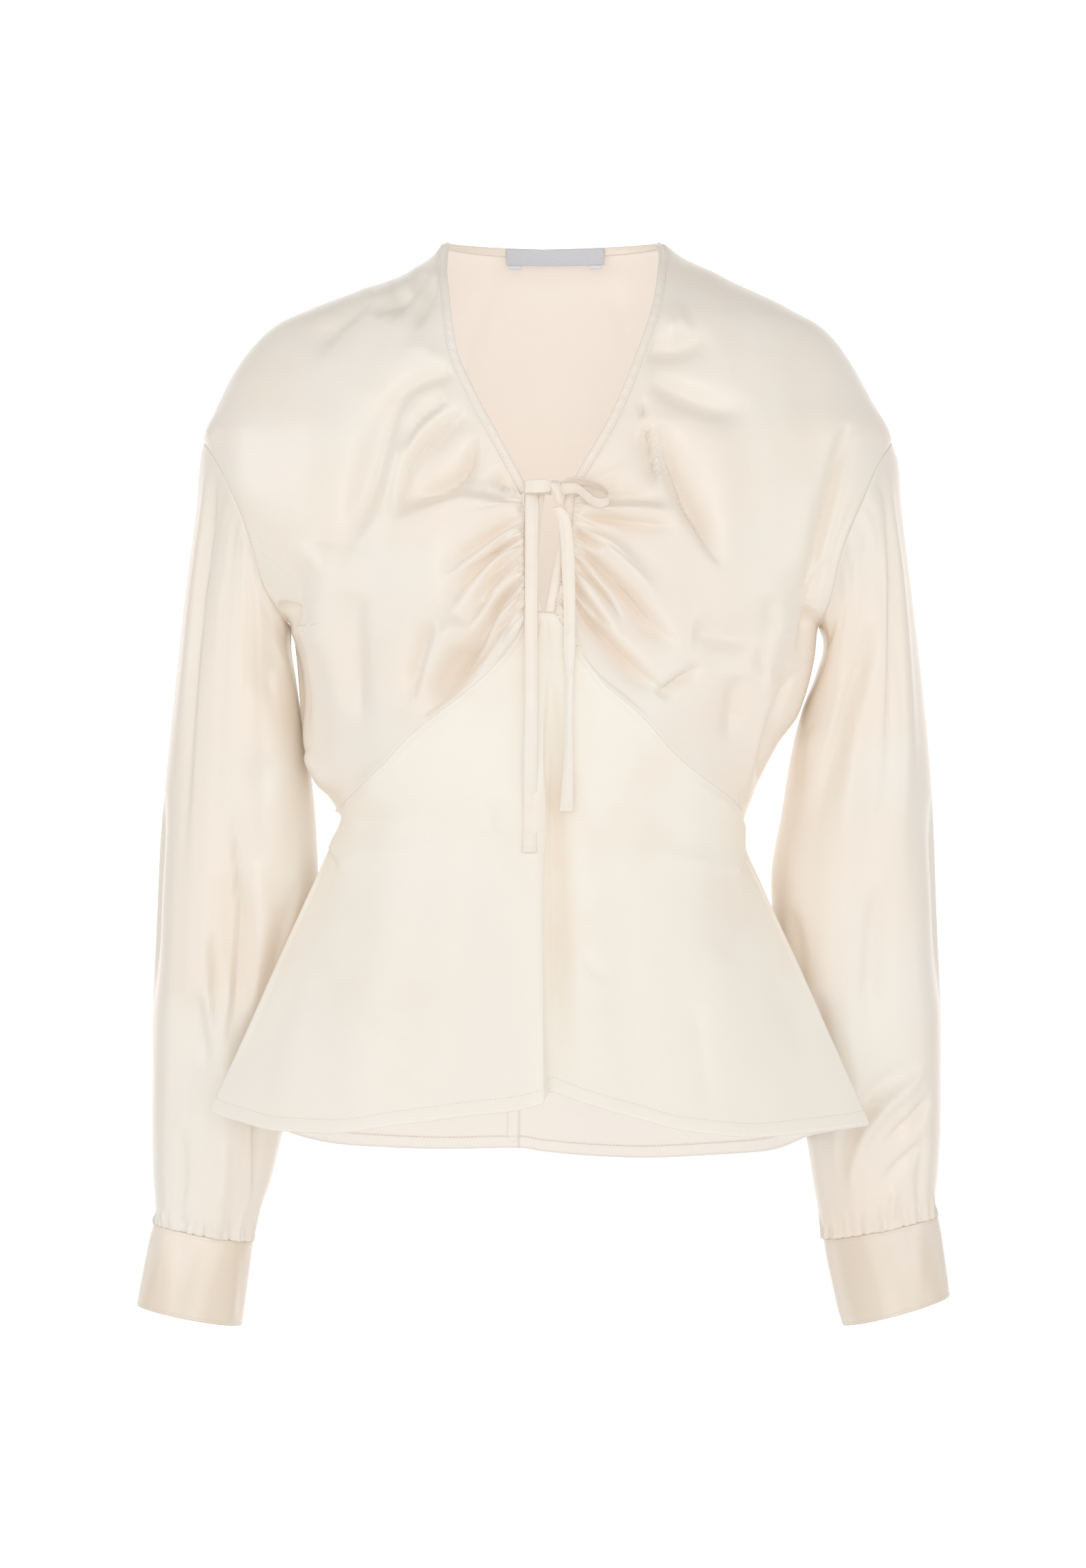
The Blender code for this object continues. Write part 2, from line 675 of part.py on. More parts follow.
def tube_of_rings(rings):
    """Vertices and faces of a closed solid over rings of equal count, with flat ends."""
    count = len(rings[0])
    faces = [tuple(range(count))[::-1]]
    for r in range(len(rings) - 1):
        for c in range(count):
            d = (c + 1) % count
            faces.append((r * count + c, r * count + d, (r + 1) * count + d, (r + 1) * count + c))
    last = (len(rings) - 1) * count
    faces.append(tuple(last + c for c in range(count)))
    return np.concatenate(rings), faces


def side_word(side):
    return "right" if side < 0 else "left"


def neck_band():
    """The narrow band round the neck, as a grid with its seam edge first."""
    seam, free = [], []
    for side in (-1, 1):
        points = neck_stations(side)
        ahead = np.gradient(points, axis=0)
        ahead /= np.linalg.norm(ahead, axis=1)[:, None]
        inwards = np.column_stack([-ahead[:, 1], ahead[:, 0]]) * side * -1
        gap, width = inwards * 2 * SEAM, inwards * NECK_BAND_WIDTH
        outer = front_at(*(points + gap).T)
        inner = front_at(*(points + width).T)
        if side < 0:
            outer, inner = outer[::-1], inner[::-1]
        seam.append(outer)
        free.append(inner)
    angles = np.linspace(-90, 90, BACK_NECK_STEPS + 3)[1:-1]
    drop = SHOULDER_HEIGHTS[0] - HIGH_NECK_BACK
    behind = back(angles, HIGH_NECK_BACK + drop * np.abs(angles) / 90)
    lift = np.cos(np.radians(angles))[:, None]
    towards = -behind * (1, 1, 0)
    towards /= np.linalg.norm(towards, axis=1)[:, None]
    behind_seam = behind + (0, 0, 2.4 * SEAM) + towards * 1.5 * SEAM
    top = behind + towards * (4.6 - 3.6 * lift) + np.array([0, 0, 1.0]) * (1.6 + 3.9 * lift)
    seam_line = np.concatenate([seam[0], behind_seam, seam[1]])
    free_line = np.concatenate([free[0], top, free[1]])
    return np.stack([seam_line, (seam_line + free_line) / 2, free_line])


def keyhole_strip(side):
    rows = STRIP_RIGHT if side < 0 else STRIP_LEFT
    z = np.linspace(rows[0, 0] - 2.5, rows[-1, 0], STRIP_ROWS + 1)
    outer, inner = through(rows, z, 1) - side * SEAM, through(rows, z, 2)
    x = np.stack([outer, (outer + inner) / 2, inner], axis=1)
    return front_at(x, z[:, None], 0.4)


def tie_tail(side):
    rows = TIE_RIGHT if side < 0 else TIE_LEFT
    line = along(rows, np.linspace(0, 1, TAIL_ROWS + 1))
    middle = (line[:, :2] + line[:, 2:4]) / 2
    edges = np.stack([line[:, :2], middle, line[:, 2:4]], axis=1)
    grid = front_at(edges[..., 0], edges[..., 1])
    grid[..., 1] = grid[:, 1, 1][:, None] - line[:, 4][:, None] - BAND
    return grid


def bow_loop(side):
    rows = LOOP_RIGHT if side < 0 else LOOP_LEFT
    line = along(rows, np.linspace(0, 1, LOOP_ROWS + 1))
    upper, lower = line[:, :3], line[:, 3:]
    return np.stack([upper, (upper + lower) / 2, lower], axis=1)


def bow_knot():
    turn = np.radians(np.arange(0, 360, 30))
    rings = []
    for x, y, z, width, depth in KNOT[::-1]:
        x_out = np.sign(np.cos(turn)) * np.abs(np.cos(turn)) ** 0.6 * width
        rings.append(np.column_stack([x + x_out, y + depth * np.sin(turn), np.full_like(turn, z)]))
    return tube_of_rings(rings)


def neck_label():
    """A plain label that hangs inside the back neck."""
    width, height, _ = LABEL_SIZE
    middle_x, middle_z = LABEL_PLACE
    x = middle_x + np.linspace(-width / 2, width / 2, LABEL_COLUMNS + 1)
    z = middle_z + np.array([1, 0, -1]) * height / 2
    x, z = np.meshgrid(x, z)
    level = np.full_like(x, HIGH_NECK_BACK)
    around = through(BODY, level, 4) * np.sqrt(1 - (x / both_widths(level, x < 0)) ** 2)
    return np.stack([x, around - BAND - LABEL_GAP, z], axis=-1)


def build():
    for old in list(bpy.data.objects):
        bpy.data.objects.remove(old)
    collection = bpy.data.collections.new(NAME)
    bpy.context.scene.collection.children.link(collection)

    for side in (-1, 1):
        word = side_word(side)
        sheet(collection, f"front_bodice_{word}", front_bodice(side), SATIN, CLOTH, flip=side > 0)
        sheet(collection, f"back_lower_{word}", back_lower(side), SATIN, CLOTH)
        sheet(collection, f"sleeve_{word}", sleeve(side), SATIN, CLOTH, True, flip=side < 0)
        sheet(collection, f"cuff_{word}", cuff(side), CUFF_SATIN, CUFF, flip=side < 0)
        cuff_button(collection, side)
        sheet(collection, f"keyhole_strip_{word}", keyhole_strip(side), SATIN, BAND, flip=side < 0)
        sheet(collection, f"tie_tail_{word}", tie_tail(side), SATIN, BAND, flip=True)
        sheet(collection, f"bow_loop_{word}", bow_loop(side), SATIN, LOOP_WALL)
    sheet(collection, "front_lower", front_lower(), SATIN, CLOTH)
    sheet(collection, "back_bodice", back_bodice(), SATIN, CLOTH)
    sheet(collection, "neck_band", neck_band(), SATIN, BAND, flip=True)
    vertices, faces = bow_knot()
    add_piece(collection, "bow_knot", vertices, faces, SATIN)
    sheet(collection, "neck_label", neck_label(), TAPE, LABEL_SIZE[2])


build()
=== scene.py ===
"""Dresses the blouse: fine cloth shells over its panels, with folds, gathers, seams and stitches.

Lengths in the tables are in millimetres and angles in degrees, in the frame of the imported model:
+Z up, the front facing -Y, and the wearer's right at -X.
"""

import math

import bpy
import numpy as np
from bpy.props import FloatProperty, FloatVectorProperty, PointerProperty
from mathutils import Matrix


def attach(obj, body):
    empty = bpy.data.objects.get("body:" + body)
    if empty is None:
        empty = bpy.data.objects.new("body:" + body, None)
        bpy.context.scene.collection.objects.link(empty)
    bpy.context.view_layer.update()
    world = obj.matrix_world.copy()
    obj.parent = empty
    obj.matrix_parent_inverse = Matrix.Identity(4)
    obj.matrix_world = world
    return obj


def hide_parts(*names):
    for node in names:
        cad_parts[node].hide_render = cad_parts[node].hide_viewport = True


bl_info = {
    "name": "Satin Blouse",
    "version": (1, 0, 0),
    "blender": (4, 5, 0),
    "location": "View3D > Sidebar > Blouse",
    "description": "Cloth, seams and stage of a filled-out satin blouse with a tied keyhole",
    "category": "Object",
}

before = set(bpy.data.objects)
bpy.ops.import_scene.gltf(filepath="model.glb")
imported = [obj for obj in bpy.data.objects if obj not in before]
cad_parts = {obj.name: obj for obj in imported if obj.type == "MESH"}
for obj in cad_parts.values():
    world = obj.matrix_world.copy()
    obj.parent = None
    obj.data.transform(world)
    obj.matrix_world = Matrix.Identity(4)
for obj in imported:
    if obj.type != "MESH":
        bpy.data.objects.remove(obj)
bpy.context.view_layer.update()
MM = 0.001
RIGHT, LEFT = SIDES = (-1, 1)  # the wearer's sides, which are also the signs of x
SIDE_WORDS = {RIGHT: "right", LEFT: "left"}

# The form of the cloth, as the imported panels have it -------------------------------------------

SEAM = 0.05  # half of the gap between two panels at a seam
NECK_BAND_WIDTH = 5.6
HIGH_NECK_BACK = -4.0  # height of the back neck at its middle
SHOULDER_HEIGHTS = (-1.5, -12, -26, -41, -55, -73, -100)  # from the neck to the shoulder tip
NECK_STEPS, ARM_STEPS, SIDE_STEPS = 13, 10, 5  # stations down the neck, armhole and side seam
WAIST = {RIGHT: -385.0, LEFT: -388.0}  # height of the waist seam at each side
WAIST_BACK = -386.0
LABEL_SIZE = (66.0, 11.2)
LABEL_PLACE = (8.3, -4.6)  # x and z of the label's middle
LABEL_GAP = 2.5

BODY = np.array([
    # z, half width right, half width left, depth in front, depth behind
    (6, 62, 74, 3, 50),
    (0, 67, 80, 9, 55),
    (-9, 73, 91, 32, 62),
    (-21.5, 93, 116.5, 50, 70),
    (-33, 124, 139.5, 60, 75),
    (-45, 156, 165, 68, 80),
    (-56, 179, 184, 75, 84),
    (-79, 200, 204.5, 85, 91),
    (-105, 215, 219, 94, 97),
    (-134, 226.5, 233, 102, 101),
    (-160, 227.5, 234, 107, 103),
    (-190, 221.5, 229.5, 112, 103),
    (-215, 211, 221, 115.5, 102),
    (-235, 195, 209, 118, 101),
    (-248, 178, 196, 119, 100),
    (-257, 168, 183.5, 120, 99),
    (-277, 165, 181, 121.5, 98),
    (-315, 162, 171, 120, 95),
    (-335, 159.5, 157, 116.5, 92),
    (-350, 155, 149, 113, 89.5),
    (-372, 142, 139, 108, 87),
    (-387, 134.5, 134.5, 106, 86),
    (-400, 140.5, 134.8, 107.5, 88),
    (-430, 154, 146.5, 112, 95),
    (-480, 176.5, 169, 121, 107),
    (-530, 198.5, 191, 131, 121),
    (-580, 221.5, 213, 140, 137),
    (-630, 243, 233, 149, 151),
])
FLARE = np.array([
    # z, side edge's y, power of the section
    (10, 0, 0.5),
    (-190, 0, 0.5),
    (-215, 0, 0.49),
    (-235, 0, 0.45),
    (-257, 0, 0.4),
    (-277, 0, 0.395),
    (-315, 0, 0.425),
    (-350, 0, 0.46),
    (-386, 0, 0.5),
    (-420, -9, 0.6),
    (-480, -22, 0.8),
    (-540, -32, 0.95),
    (-590, -40, 1),
    (-640, -48, 1),
])
NECK = {
    # x, z down the neck edge
    RIGHT: np.array([
        (-67, 0), (-68.6, -8), (-68.8, -22), (-67, -41), (-61.6, -80), (-49.4, -109), (-32, -142),
        (-14, -175),
    ]),
    LEFT: np.array([
        (80, 0), (82.4, -8), (81, -25), (78, -45), (65.6, -84.5), (47.6, -127.5), (32, -155),
        (21, -174),
    ]),
}
STRIP = {
    # z, outer x, inner x of the keyhole's strip
    RIGHT: np.array([
        (-175, -12.4, 1.2),
        (-190, -11.8, -1),
        (-206, -12.2, -2.3),
        (-228, -11.8, -3.8),
        (-239, -11.6, -3),
        (-250.9, -11.4, 0.1),
    ]),
    LEFT: np.array([
        (-174, 20.8, 14.2),
        (-195, 18.6, 11.4),
        (-212, 15.2, 8.8),
        (-229, 12, 5.4),
        (-251.3, 8.3, 0.9),
    ]),
}
ARM = {
    # z, x from the shoulder tip to the underarm
    RIGHT: np.array([
        (-134, 226.5), (-145, 218.5), (-167, 206.5), (-187, 197.5), (-208, 191), (-232, 184),
        (-249, 173.5), (-257, 168),
    ]),
    LEFT: np.array([
        (-134, 233), (-151, 221.5), (-176, 210), (-193, 202.5), (-213, 195.5), (-238, 190),
        (-252, 185), (-257, 183.5),
    ]),
}
CROSS_SEAM = np.array([
    # angle, z
    (-90, -385), (-62, -370), (-43.3, -351), (-31, -327.5), (-14.3, -294.5), (-6.3, -270.2),
    (-4.4, -260), (-3.6, -252.8), (-1.1, -251.4), (2.6, -252.6), (4.3, -259.6), (5.7, -267.6),
    (13.1, -298), (16.3, -305.5), (39.3, -350), (62, -371), (90, -388),
])
GATHER_FOOT = {RIGHT: 4.4, LEFT: 4.3}  # angles where the gathered edges meet the cross seam
FRONT_HEM = np.array([
    # angle, z
    (-90, -576), (-64, -583), (-49, -588), (-39, -588), (-24, -580.5), (-12, -574), (0, -565.5),
    (1.6, -559), (6, -564.5), (17.6, -577.5), (27, -586), (41, -590.5), (54, -589), (90, -585.5),
])
FOLD_ANGLE = (0.3, 1.5)  # edge and foot of the centre fold
FOLD_SPREAD = 13  # degrees over which the cloth right of the fold falls back
FOLD_DEPTH = np.array([
    # z, depth
    (-300, 0), (-360, 2), (-420, 6), (-500, 10.5), (-560, 13.5), (-640, 14),
])
FRONT_FOLDS = (
    # from, to, half width, height
    ((-104, -108), (-125, -205), 13, -3.5),
    ((-84, -115), (-99, -215), 12, 2.5),
    ((64, -125), (78, -185), 10, -2.5),
    ((158, -265), (136, -370), 9, 3.5),
    ((-150, -270), (-128, -360), 9, 3),
    ((96, -400), (132, -600), 20, 4),
    ((-92, -400), (-128, -600), 20, 4),
    ((48, -420), (62, -600), 14, -3),
    ((-44, -420), (-60, -600), 14, -3),
)
BACK_LEVELS = np.array([WAIST_BACK, -440, -500, -578, -625])
BACK_SECTIONS = np.array([
    # (x, y) from the centre back to the side
    ((0, 86), (41, 82), (78, 70.5), (106, 53), (124, 33.5), (132.5, 14), (134.5, 0.4)),
    ((0, 98), (46, 95), (88, 84), (120, 61), (138, 32), (147, 6), (156, -12)),
    ((0, 114), (48, 112), (94, 100), (130, 74), (148, 42), (160, 6), (182.5, -23)),
    ((0, 137), (52, 135), (104, 122), (142, 92), (162, 54), (180, 5), (217.5, -35.5)),
    ((0, 151), (56, 149), (112, 134), (152, 102), (172, 60), (190, 8), (236, -44)),
])
BACK_HEM = np.array([
    # place from the right side edge (-1) to the left one (1), z
    (-1, -577), (-0.84, -589), (-0.68, -600), (-0.54, -607), (-0.36, -614), (-0.2, -616.8),
    (-0.05, -616.3), (0, -619), (0.1, -622), (0.2, -623), (0.35, -620), (0.57, -612.5),
    (0.8, -598.5), (1, -587),
])
CENTRE_BACK = -17.0 / 330  # place of the centre back seam
CENTRE_OVERLAP = 0.0002  # how far both lower back panels run past it
SLEEVE = {
    # outer x, outer z, inner x, inner z, centre y, half depth
    RIGHT: np.array([
        (229.5, -148, 168, -268, 3, 50),
        (233, -180, 165.5, -290, 9, 52),
        (239.5, -230, 163.2, -316, 15, 53),
        (247, -290, 158.4, -344, 20, 54),
        (254, -350, 154, -382, 25, 54),
        (260, -415, 151.8, -428, 29, 54),
        (263, -480, 155.5, -484, 33, 53),
        (264.5, -540, 164, -541, 37, 51),
        (265, -592, 175, -594, 40, 47),
        (264.5, -626, 184, -630, 42, 43),
        (263, -646, 193, -656, 43, 39),
        (262.8, -657.9, 196, -670.4, 43, 34),
    ]),
    LEFT: np.array([
        (236.5, -148, 184.8, -268, 4, 50),
        (241, -180, 181.2, -287, 10, 52),
        (247, -230, 174, -312, 15, 53),
        (254.5, -290, 166.8, -342, 20, 54),
        (260.5, -350, 161, -380, 25, 54),
        (264.5, -415, 154, -427, 29, 54),
        (267.5, -480, 156.5, -483, 33, 53),
        (269.5, -540, 165.5, -541, 37, 51),
        (270, -592, 177, -594, 40, 47),
        (268.5, -625, 182.5, -630, 42, 43),
        (267, -643, 187, -656, 43, 39),
        (267, -653, 189.5, -668.7, 43, 34),
    ]),
}
SLEEVE_FOLDS = {
    # angle round the sleeve (0 outside, 90 in front), from z, to z, half width, height
    RIGHT: (
        (42, -140, -300, 16, -3.5),
        (95, -385, -520, 17, -5),
        (62, -490, -560, 15, -4),
        (120, -260, -420, 18, 3.5),
        (230, -200, -420, 22, -4),
        (300, -360, -600, 22, 3.5),
    ),
    LEFT: (
        (60, -200, -440, 18, 4.5),
        (100, -230, -330, 18, -4),
        (85, -400, -560, 20, -3.5),
        (135, -380, -520, 16, 3.5),
        (230, -220, -460, 22, -4),
        (300, -340, -580, 22, 3.5),
    ),
}
CUFF_EDGES = {
    # top and bottom edges, each from its outer to its inner point
    RIGHT: ((263.2, -658.5, 196.2, -671), (275, -714, 203.6, -728)),
    LEFT: ((267.3, -653.6, 189.7, -669.3), (275.5, -708, 203, -728)),
}
CUFF_CENTRE_Y, CUFF_HALF_DEPTH, CUFF_WALL = 43.0, 33.0, 2.0
CUFF_LAP = (215.0, 32.0)  # angle where a cuff begins, and how far its end laps over
TIE = {
    # one edge x, z, other edge x, z, distance off the cloth
    RIGHT: np.array([
        (5.3, -170.6, 5.3, -176, 1.3),
        (-0.5, -170.4, -0.8, -175.4, 1.3),
        (-6, -170.8, -3.6, -175.4, 1.3),
        (-10.2, -173, -3, -178, 1.5),
        (-11.4, -179, -2.6, -183, 2),
        (-11.6, -190, -2.9, -192, 2.4),
        (-11.6, -203, -3.2, -203, 2.4),
        (-11.8, -251, -3.6, -251, 2.3),
        (-11.8, -296, -3.4, -296, 2.2),
        (-12.5, -337, -3.6, -337, 2.6),
        (-13, -373, -4, -373, 3.4),
        (-13.6, -406, -4.1, -406, 4),
    ]),
    LEFT: np.array([
        (6, -183.6, 12.4, -183.2, 2.4),
        (9.8, -194, 17.2, -189.3, 2.6),
        (11, -203, 19, -199.5, 2.6),
        (11.9, -222, 20.7, -222, 2.6),
        (13, -248, 20.9, -248, 2.5),
        (13.2, -272, 20.9, -272, 2.4),
        (14.6, -297, 20, -297, 2.4),
        (14.3, -330, 19.5, -330, 2.9),
        (12.5, -357, 19.8, -357, 4),
        (10.6, -380, 19.8, -380, 4.9),
    ]),
}
LOOP = {
    # upper edge x, y, z, lower edge x, y, z
    RIGHT: np.array([
        (5, -116.8, -166.8, 5, -116.2, -173.6),
        (0, -119, -165.8, 0, -117.8, -174.6),
        (-7, -118.2, -166.2, -7, -116.8, -174.8),
        (-11, -115.4, -166.6, -11, -114.4, -174.4),
        (-9.6, -112.6, -166.8, -9.6, -111.8, -174),
        (-4, -111.8, -167, -4, -111.6, -173.6),
        (5, -113.4, -167.4, 5, -113.2, -173),
    ]),
    LEFT: np.array([
        (11.4, -117.4, -168.4, 11.6, -115.4, -176.2),
        (20, -122.2, -168.8, 21, -117.4, -175.2),
        (26, -124.2, -172.4, 26, -118.2, -178.8),
        (31.5, -124.8, -177.2, 31, -118.8, -182.8),
        (37, -124, -178.8, 36.8, -118.6, -184.6),
        (41.4, -121.6, -177.4, 42.2, -116.4, -182.4),
        (42.6, -118.6, -173.8, 43.4, -113, -178.2),
        (38.5, -117.6, -169.4, 39.3, -112, -173.4),
        (31, -117, -166.2, 31.8, -111.6, -170),
        (22, -116, -164.2, 23, -111.8, -168.8),
        (16, -115, -165.2, 17, -112.2, -170.4),
        (11.2, -114.4, -167.2, 11.4, -113.2, -172.2),
    ]),
}
KNOT = np.array([
    # z, centre x, centre y, half width, half depth
    (-166.6, 8.2, -115.4, 2.2, 1.6),
    (-168.6, 8.4, -116, 2.5, 3.4),
    (-174, 8.6, -116.4, 2.3, 3.9),
    (-179, 9, -116.2, 2.7, 3.4),
    (-182.4, 9.2, -115.4, 2.6, 2),
])

# Folds of the cloth ----------------------------------------------------------------------------
# Each row: half width at the start and at the end, height, lean, and the path on the flat view.

CREASES_RIGHT = (
    # the long fold from the neck, and the crumples beside it
    (3.5, 8, -2, 0.15, (-56, -95), (-72, -98), (-86, -103), (-96, -113), (-103, -130),
     (-109, -153), (-117, -181), (-128, -209), (-137, -231)),
    (3, 5, -2.2, -0.2, (-50, -118), (-64, -129), (-76, -141), (-86, -156), (-92, -176),
     (-96, -196)),
    (2.6, 5, -2.6, 0.3, (-42, -138), (-45, -153), (-53, -166), (-66, -174), (-82, -180),
     (-102, -190)),
    (2.4, 3.5, -1.4, 0.3, (-62, -112), (-74, -120), (-86, -134), (-92, -150)),
    (4, 6, 1, 0, (-62, -88), (-76, -82), (-92, -70)),
    (1.6, 2.2, -1, 0, (-22, -172), (-28, -166), (-31, -158)),
    # gathers that run out into long folds
    (3, 7, 2.4, -0.3, (-14, -184), (-26, -182), (-40, -179), (-54, -178), (-70, -181), (-87, -185),
     (-101, -191)),
    (1.8, 3.5, -1.9, 0.3, (-14, -193), (-22, -196), (-32, -202), (-41, -208), (-51, -215),
     (-59, -222), (-69, -228)),
    (1.8, 3, 1.4, 0, (-14, -198), (-26, -203), (-40, -212), (-52, -221), (-61, -228)),
    (2, 4.5, -2.3, 0.3, (-14, -204), (-25, -209), (-34, -215), (-43, -224), (-51, -233),
     (-58, -243), (-65, -253)),
    (2, 4, -2.5, 0.3, (-14, -217), (-22, -222), (-29, -229), (-35, -237), (-41, -247), (-48, -257),
     (-54, -265)),
    (2, 4, 2, 0, (-14, -224), (-23, -233), (-32, -244), (-39, -257), (-47, -269)),
    (2.2, 5, -3.2, 0.3, (-12, -229), (-21, -239), (-29, -249), (-35, -260), (-42, -272),
     (-52, -286), (-64, -302), (-76, -320)),
    (2, 3.5, 1.8, 0, (-14, -240), (-22, -250), (-29, -261), (-37, -273), (-48, -284)),
    (2, 4.5, -3, 0.3, (-13, -247), (-25, -261), (-34, -272), (-43, -283), (-54, -295), (-66, -309),
     (-80, -326)),
    (5, 6, 2.6, 0, (-54, -255), (-62, -266), (-69, -280), (-76, -297), (-81, -313)),
    (3, 4, -2.4, 0.3, (-72, -257), (-77, -272), (-81, -286), (-84, -300), (-86, -315)),
    (4, 5, -1.6, 0, (-51, -272), (-65, -291), (-73, -308)),
    # drop from the shoulder
    (3, 4, -1.5, 0.2, (-69, -27), (-77, -50), (-85, -68)),
    (3, 4, -1.6, 0.2, (-78, -22), (-91, -44), (-101, -60)),
    (3, 4.5, -1.3, 0.2, (-87, -34), (-102, -46), (-113, -57)),
    (4, 5, 1.2, 0, (-99, -36), (-119, -46), (-136, -52)),
    (5, 7, -1.4, 0.1, (-112, -42), (-136, -60), (-152, -84)),
    # the pull towards the shoulder tip and the underarm
    (2, 3, 0.9, 0.2, (-216, -122), (-219, -130), (-220, -139)),
    (2.5, 4, -1.2, 0.2, (-174, -243), (-166, -246), (-154, -248)),
    (3, 3.5, -1.4, 0, (-163, -262), (-160, -300), (-156, -336)),
    (9, 9, 1.8, 0.1, (-140, -205), (-146, -250), (-142, -300)),
    (8, 7, -1.6, 0.1, (-122, -238), (-124, -285), (-117, -330)),
    (3, 3.5, 1.8, 0.1, (-157, -340), (-148, -350), (-139, -372)),
)
CREASES_LEFT = (
    # swells under the shoulder
    (5, 8, -1.7, 0, (64, -79), (87, -77), (111, -66)),
    (6, 6, 1.6, 0, (78, -65), (100, -59)),
    (6, 9, -2, 0, (70, -100), (87, -106), (120, -117), (139, -112)),
    (1.2, 1.4, -0.8, 0, (64, -112), (65, -119), (64, -126)),
    # folds that fall from the neck
    (1.6, 2, -1.8, 0.3, (67, -130), (70, -145), (73, -159), (77, -171)),
    (5, 3.2, -3.2, -0.3, (74, -128), (78, -148), (84, -164), (92, -180), (100, -194), (108, -210),
     (120, -226)),
    # gathers that run out into long folds
    (3, 4, -1.6, -0.3, (31, -181), (45, -179), (62, -179), (84, -184)),
    (2, 3, 2, -0.2, (22, -187), (40, -185), (56, -184), (73, -186), (92, -189)),
    (1.6, 2.6, -1.8, 0.3, (24, -189), (45, -190), (64, -192), (88, -196)),
    (1.4, 1.8, -1.5, 0.3, (20, -196), (28, -203), (35, -207), (44, -211)),
    (2, 4, 1.8, 0, (26, -199), (42, -210), (56, -222), (69, -237), (78, -253)),
    (2, 4.5, -3, 0.3, (20, -206), (34, -217), (45, -227), (57, -239), (68, -253), (80, -266),
     (93, -276)),
    (1.6, 2.4, -2.1, 0.3, (20, -217), (31, -228), (41, -240), (48, -251), (53, -261)),
    (1.8, 2.6, 1.4, 0, (22, -225), (34, -237), (44, -249), (51, -261)),
    (1.6, 2.6, -1.9, 0.3, (19, -231), (28, -243), (37, -254), (46, -264)),
    (2.2, 4.5, -2.8, 0.3, (16, -238), (31, -255), (42, -267), (57, -283), (72, -297), (88, -310)),
    # crumples under the bust
    (2.2, 2.6, -1.8, 0.3, (74, -304), (89, -293), (105, -283)),
    (9, 9, -1.3, 0, (96, -262), (125, -266), (152, -258)),
    (4, 5, -0.8, 0.2, (152, -240), (147, -272), (144, -306)),
    # the pull towards the shoulder tip and the underarm
    (3, 3, -2, 0.2, (202, -124), (195, -156), (187, -192), (180, -220), (173, -242), (169, -258)),
    (3, 3, -1.8, 0.2, (186, -216), (179, -242), (172, -264), (168, -284)),
    (5, 5, -1.4, 0, (128, -292), (126, -318), (119, -338)),
    (3.5, 3, -2, 0.2, (170, -285), (157, -310), (146, -340), (139, -372)),
    (4.5, 4, 1.8, 0, (160, -290), (148, -318), (139, -348), (134, -372)),
)
CREASES_LOWER = (
    # the hollow beside the centre fold
    (3, 6, -3.8, -0.3, (3.6, -285), (4.4, -330), (5.5, -420), (6, -500), (6.5, -580)),
    (9, 16, 0.9, 0, (14, -300), (20, -380), (27, -470), (32, -570)),
    (6, 12, 0.9, 0.2, (-5, -330), (-8, -420), (-10, -520), (-11, -575)),
    # short pulls under the keyhole
    (4, 6, -0.5, 0.1, (-6, -262), (-12, -300), (-14, -360), (-12, -410)),
    (2, 3, -0.6, 0.1, (2, -256), (4, -275), (7, -296)),
    (1.2, 2, -0.5, 0, (-3, -256), (-6, -270)),
    # slow folds towards the hem
    (7, 13, -1, 0.1, (-124, -366), (-146, -430), (-170, -500), (-196, -576)),
    (14, 22, -0.5, 0, (-70, -352), (-78, -430), (-88, -510), (-98, -588)),
    (7, 13, -1, 0, (124, -370), (142, -430), (162, -500), (188, -580)),
    (14, 22, -0.5, 0, (76, -360), (84, -430), (92, -510), (98, -588)),
    (3, 4, -0.6, 0.1, (100, -500), (104, -540), (108, -580)),
    (3, 4, -0.5, 0.1, (-36, -372), (-30, -392), (-16, -404)),
    (3, 4, -0.5, 0, (26, -470), (34, -482), (46, -486)),
)
CREASES_BACK = (
    # paths on the back view (x, z)
    (3, 14, -1.3, 0.2, (-36, -16), (-48, -60), (-62, -120), (-70, -190)),
    (3, 15, -1.1, -0.2, (46, -16), (58, -58), (72, -112), (78, -176)),
    (3, 13, -2.1, 0.4, (-94, -40), (-108, -110), (-110, -180), (-98, -250), (-82, -316)),
    (3, 13, 1.3, 0, (-78, -52), (-90, -130), (-88, -210), (-74, -284)),
    (3, 14, -2, -0.4, (100, -40), (118, -115), (120, -190), (106, -262), (88, -330)),
    (3, 13, 1.3, 0, (86, -56), (102, -136), (100, -214), (84, -300)),
    (4, 9, -2.4, 0.3, (-196, -165), (-170, -205), (-140, -236), (-112, -252)),
    (4, 9, -2.2, 0.3, (-180, -238), (-152, -262), (-118, -276), (-84, -284)),
    (4, 8, -1.8, 0, (-174, -250), (-140, -288), (-112, -330)),
    (4, 9, -2.4, -0.3, (202, -168), (176, -206), (146, -238), (112, -258)),
    (4, 9, -2.2, -0.3, (188, -240), (160, -264), (124, -280), (92, -286)),
    (4, 8, -1.8, 0, (180, -254), (146, -292), (116, -336)),
    (3, 12, -1.2, 0.2, (-132, -376), (-100, -350), (-66, -330), (-28, -318)),
    (3, 12, -1.1, -0.2, (134, -378), (98, -356), (66, -338), (34, -328)),
    (3, 7, 1, 0, (-96, -384), (-66, -360), (-30, -350)),
    (4, 16, 0.9, 0, (-20, -60), (-14, -160), (-16, -240), (-26, -320)),
    (4, 15, -1, 0, (18, -90), (28, -180), (24, -260), (12, -330)),
    (3.5, 10, -0.8, 0, (-44, -388), (-46, -360), (-52, -322)),
    (3.5, 10, -0.8, 0, (48, -388), (52, -356), (60, -318)),
)
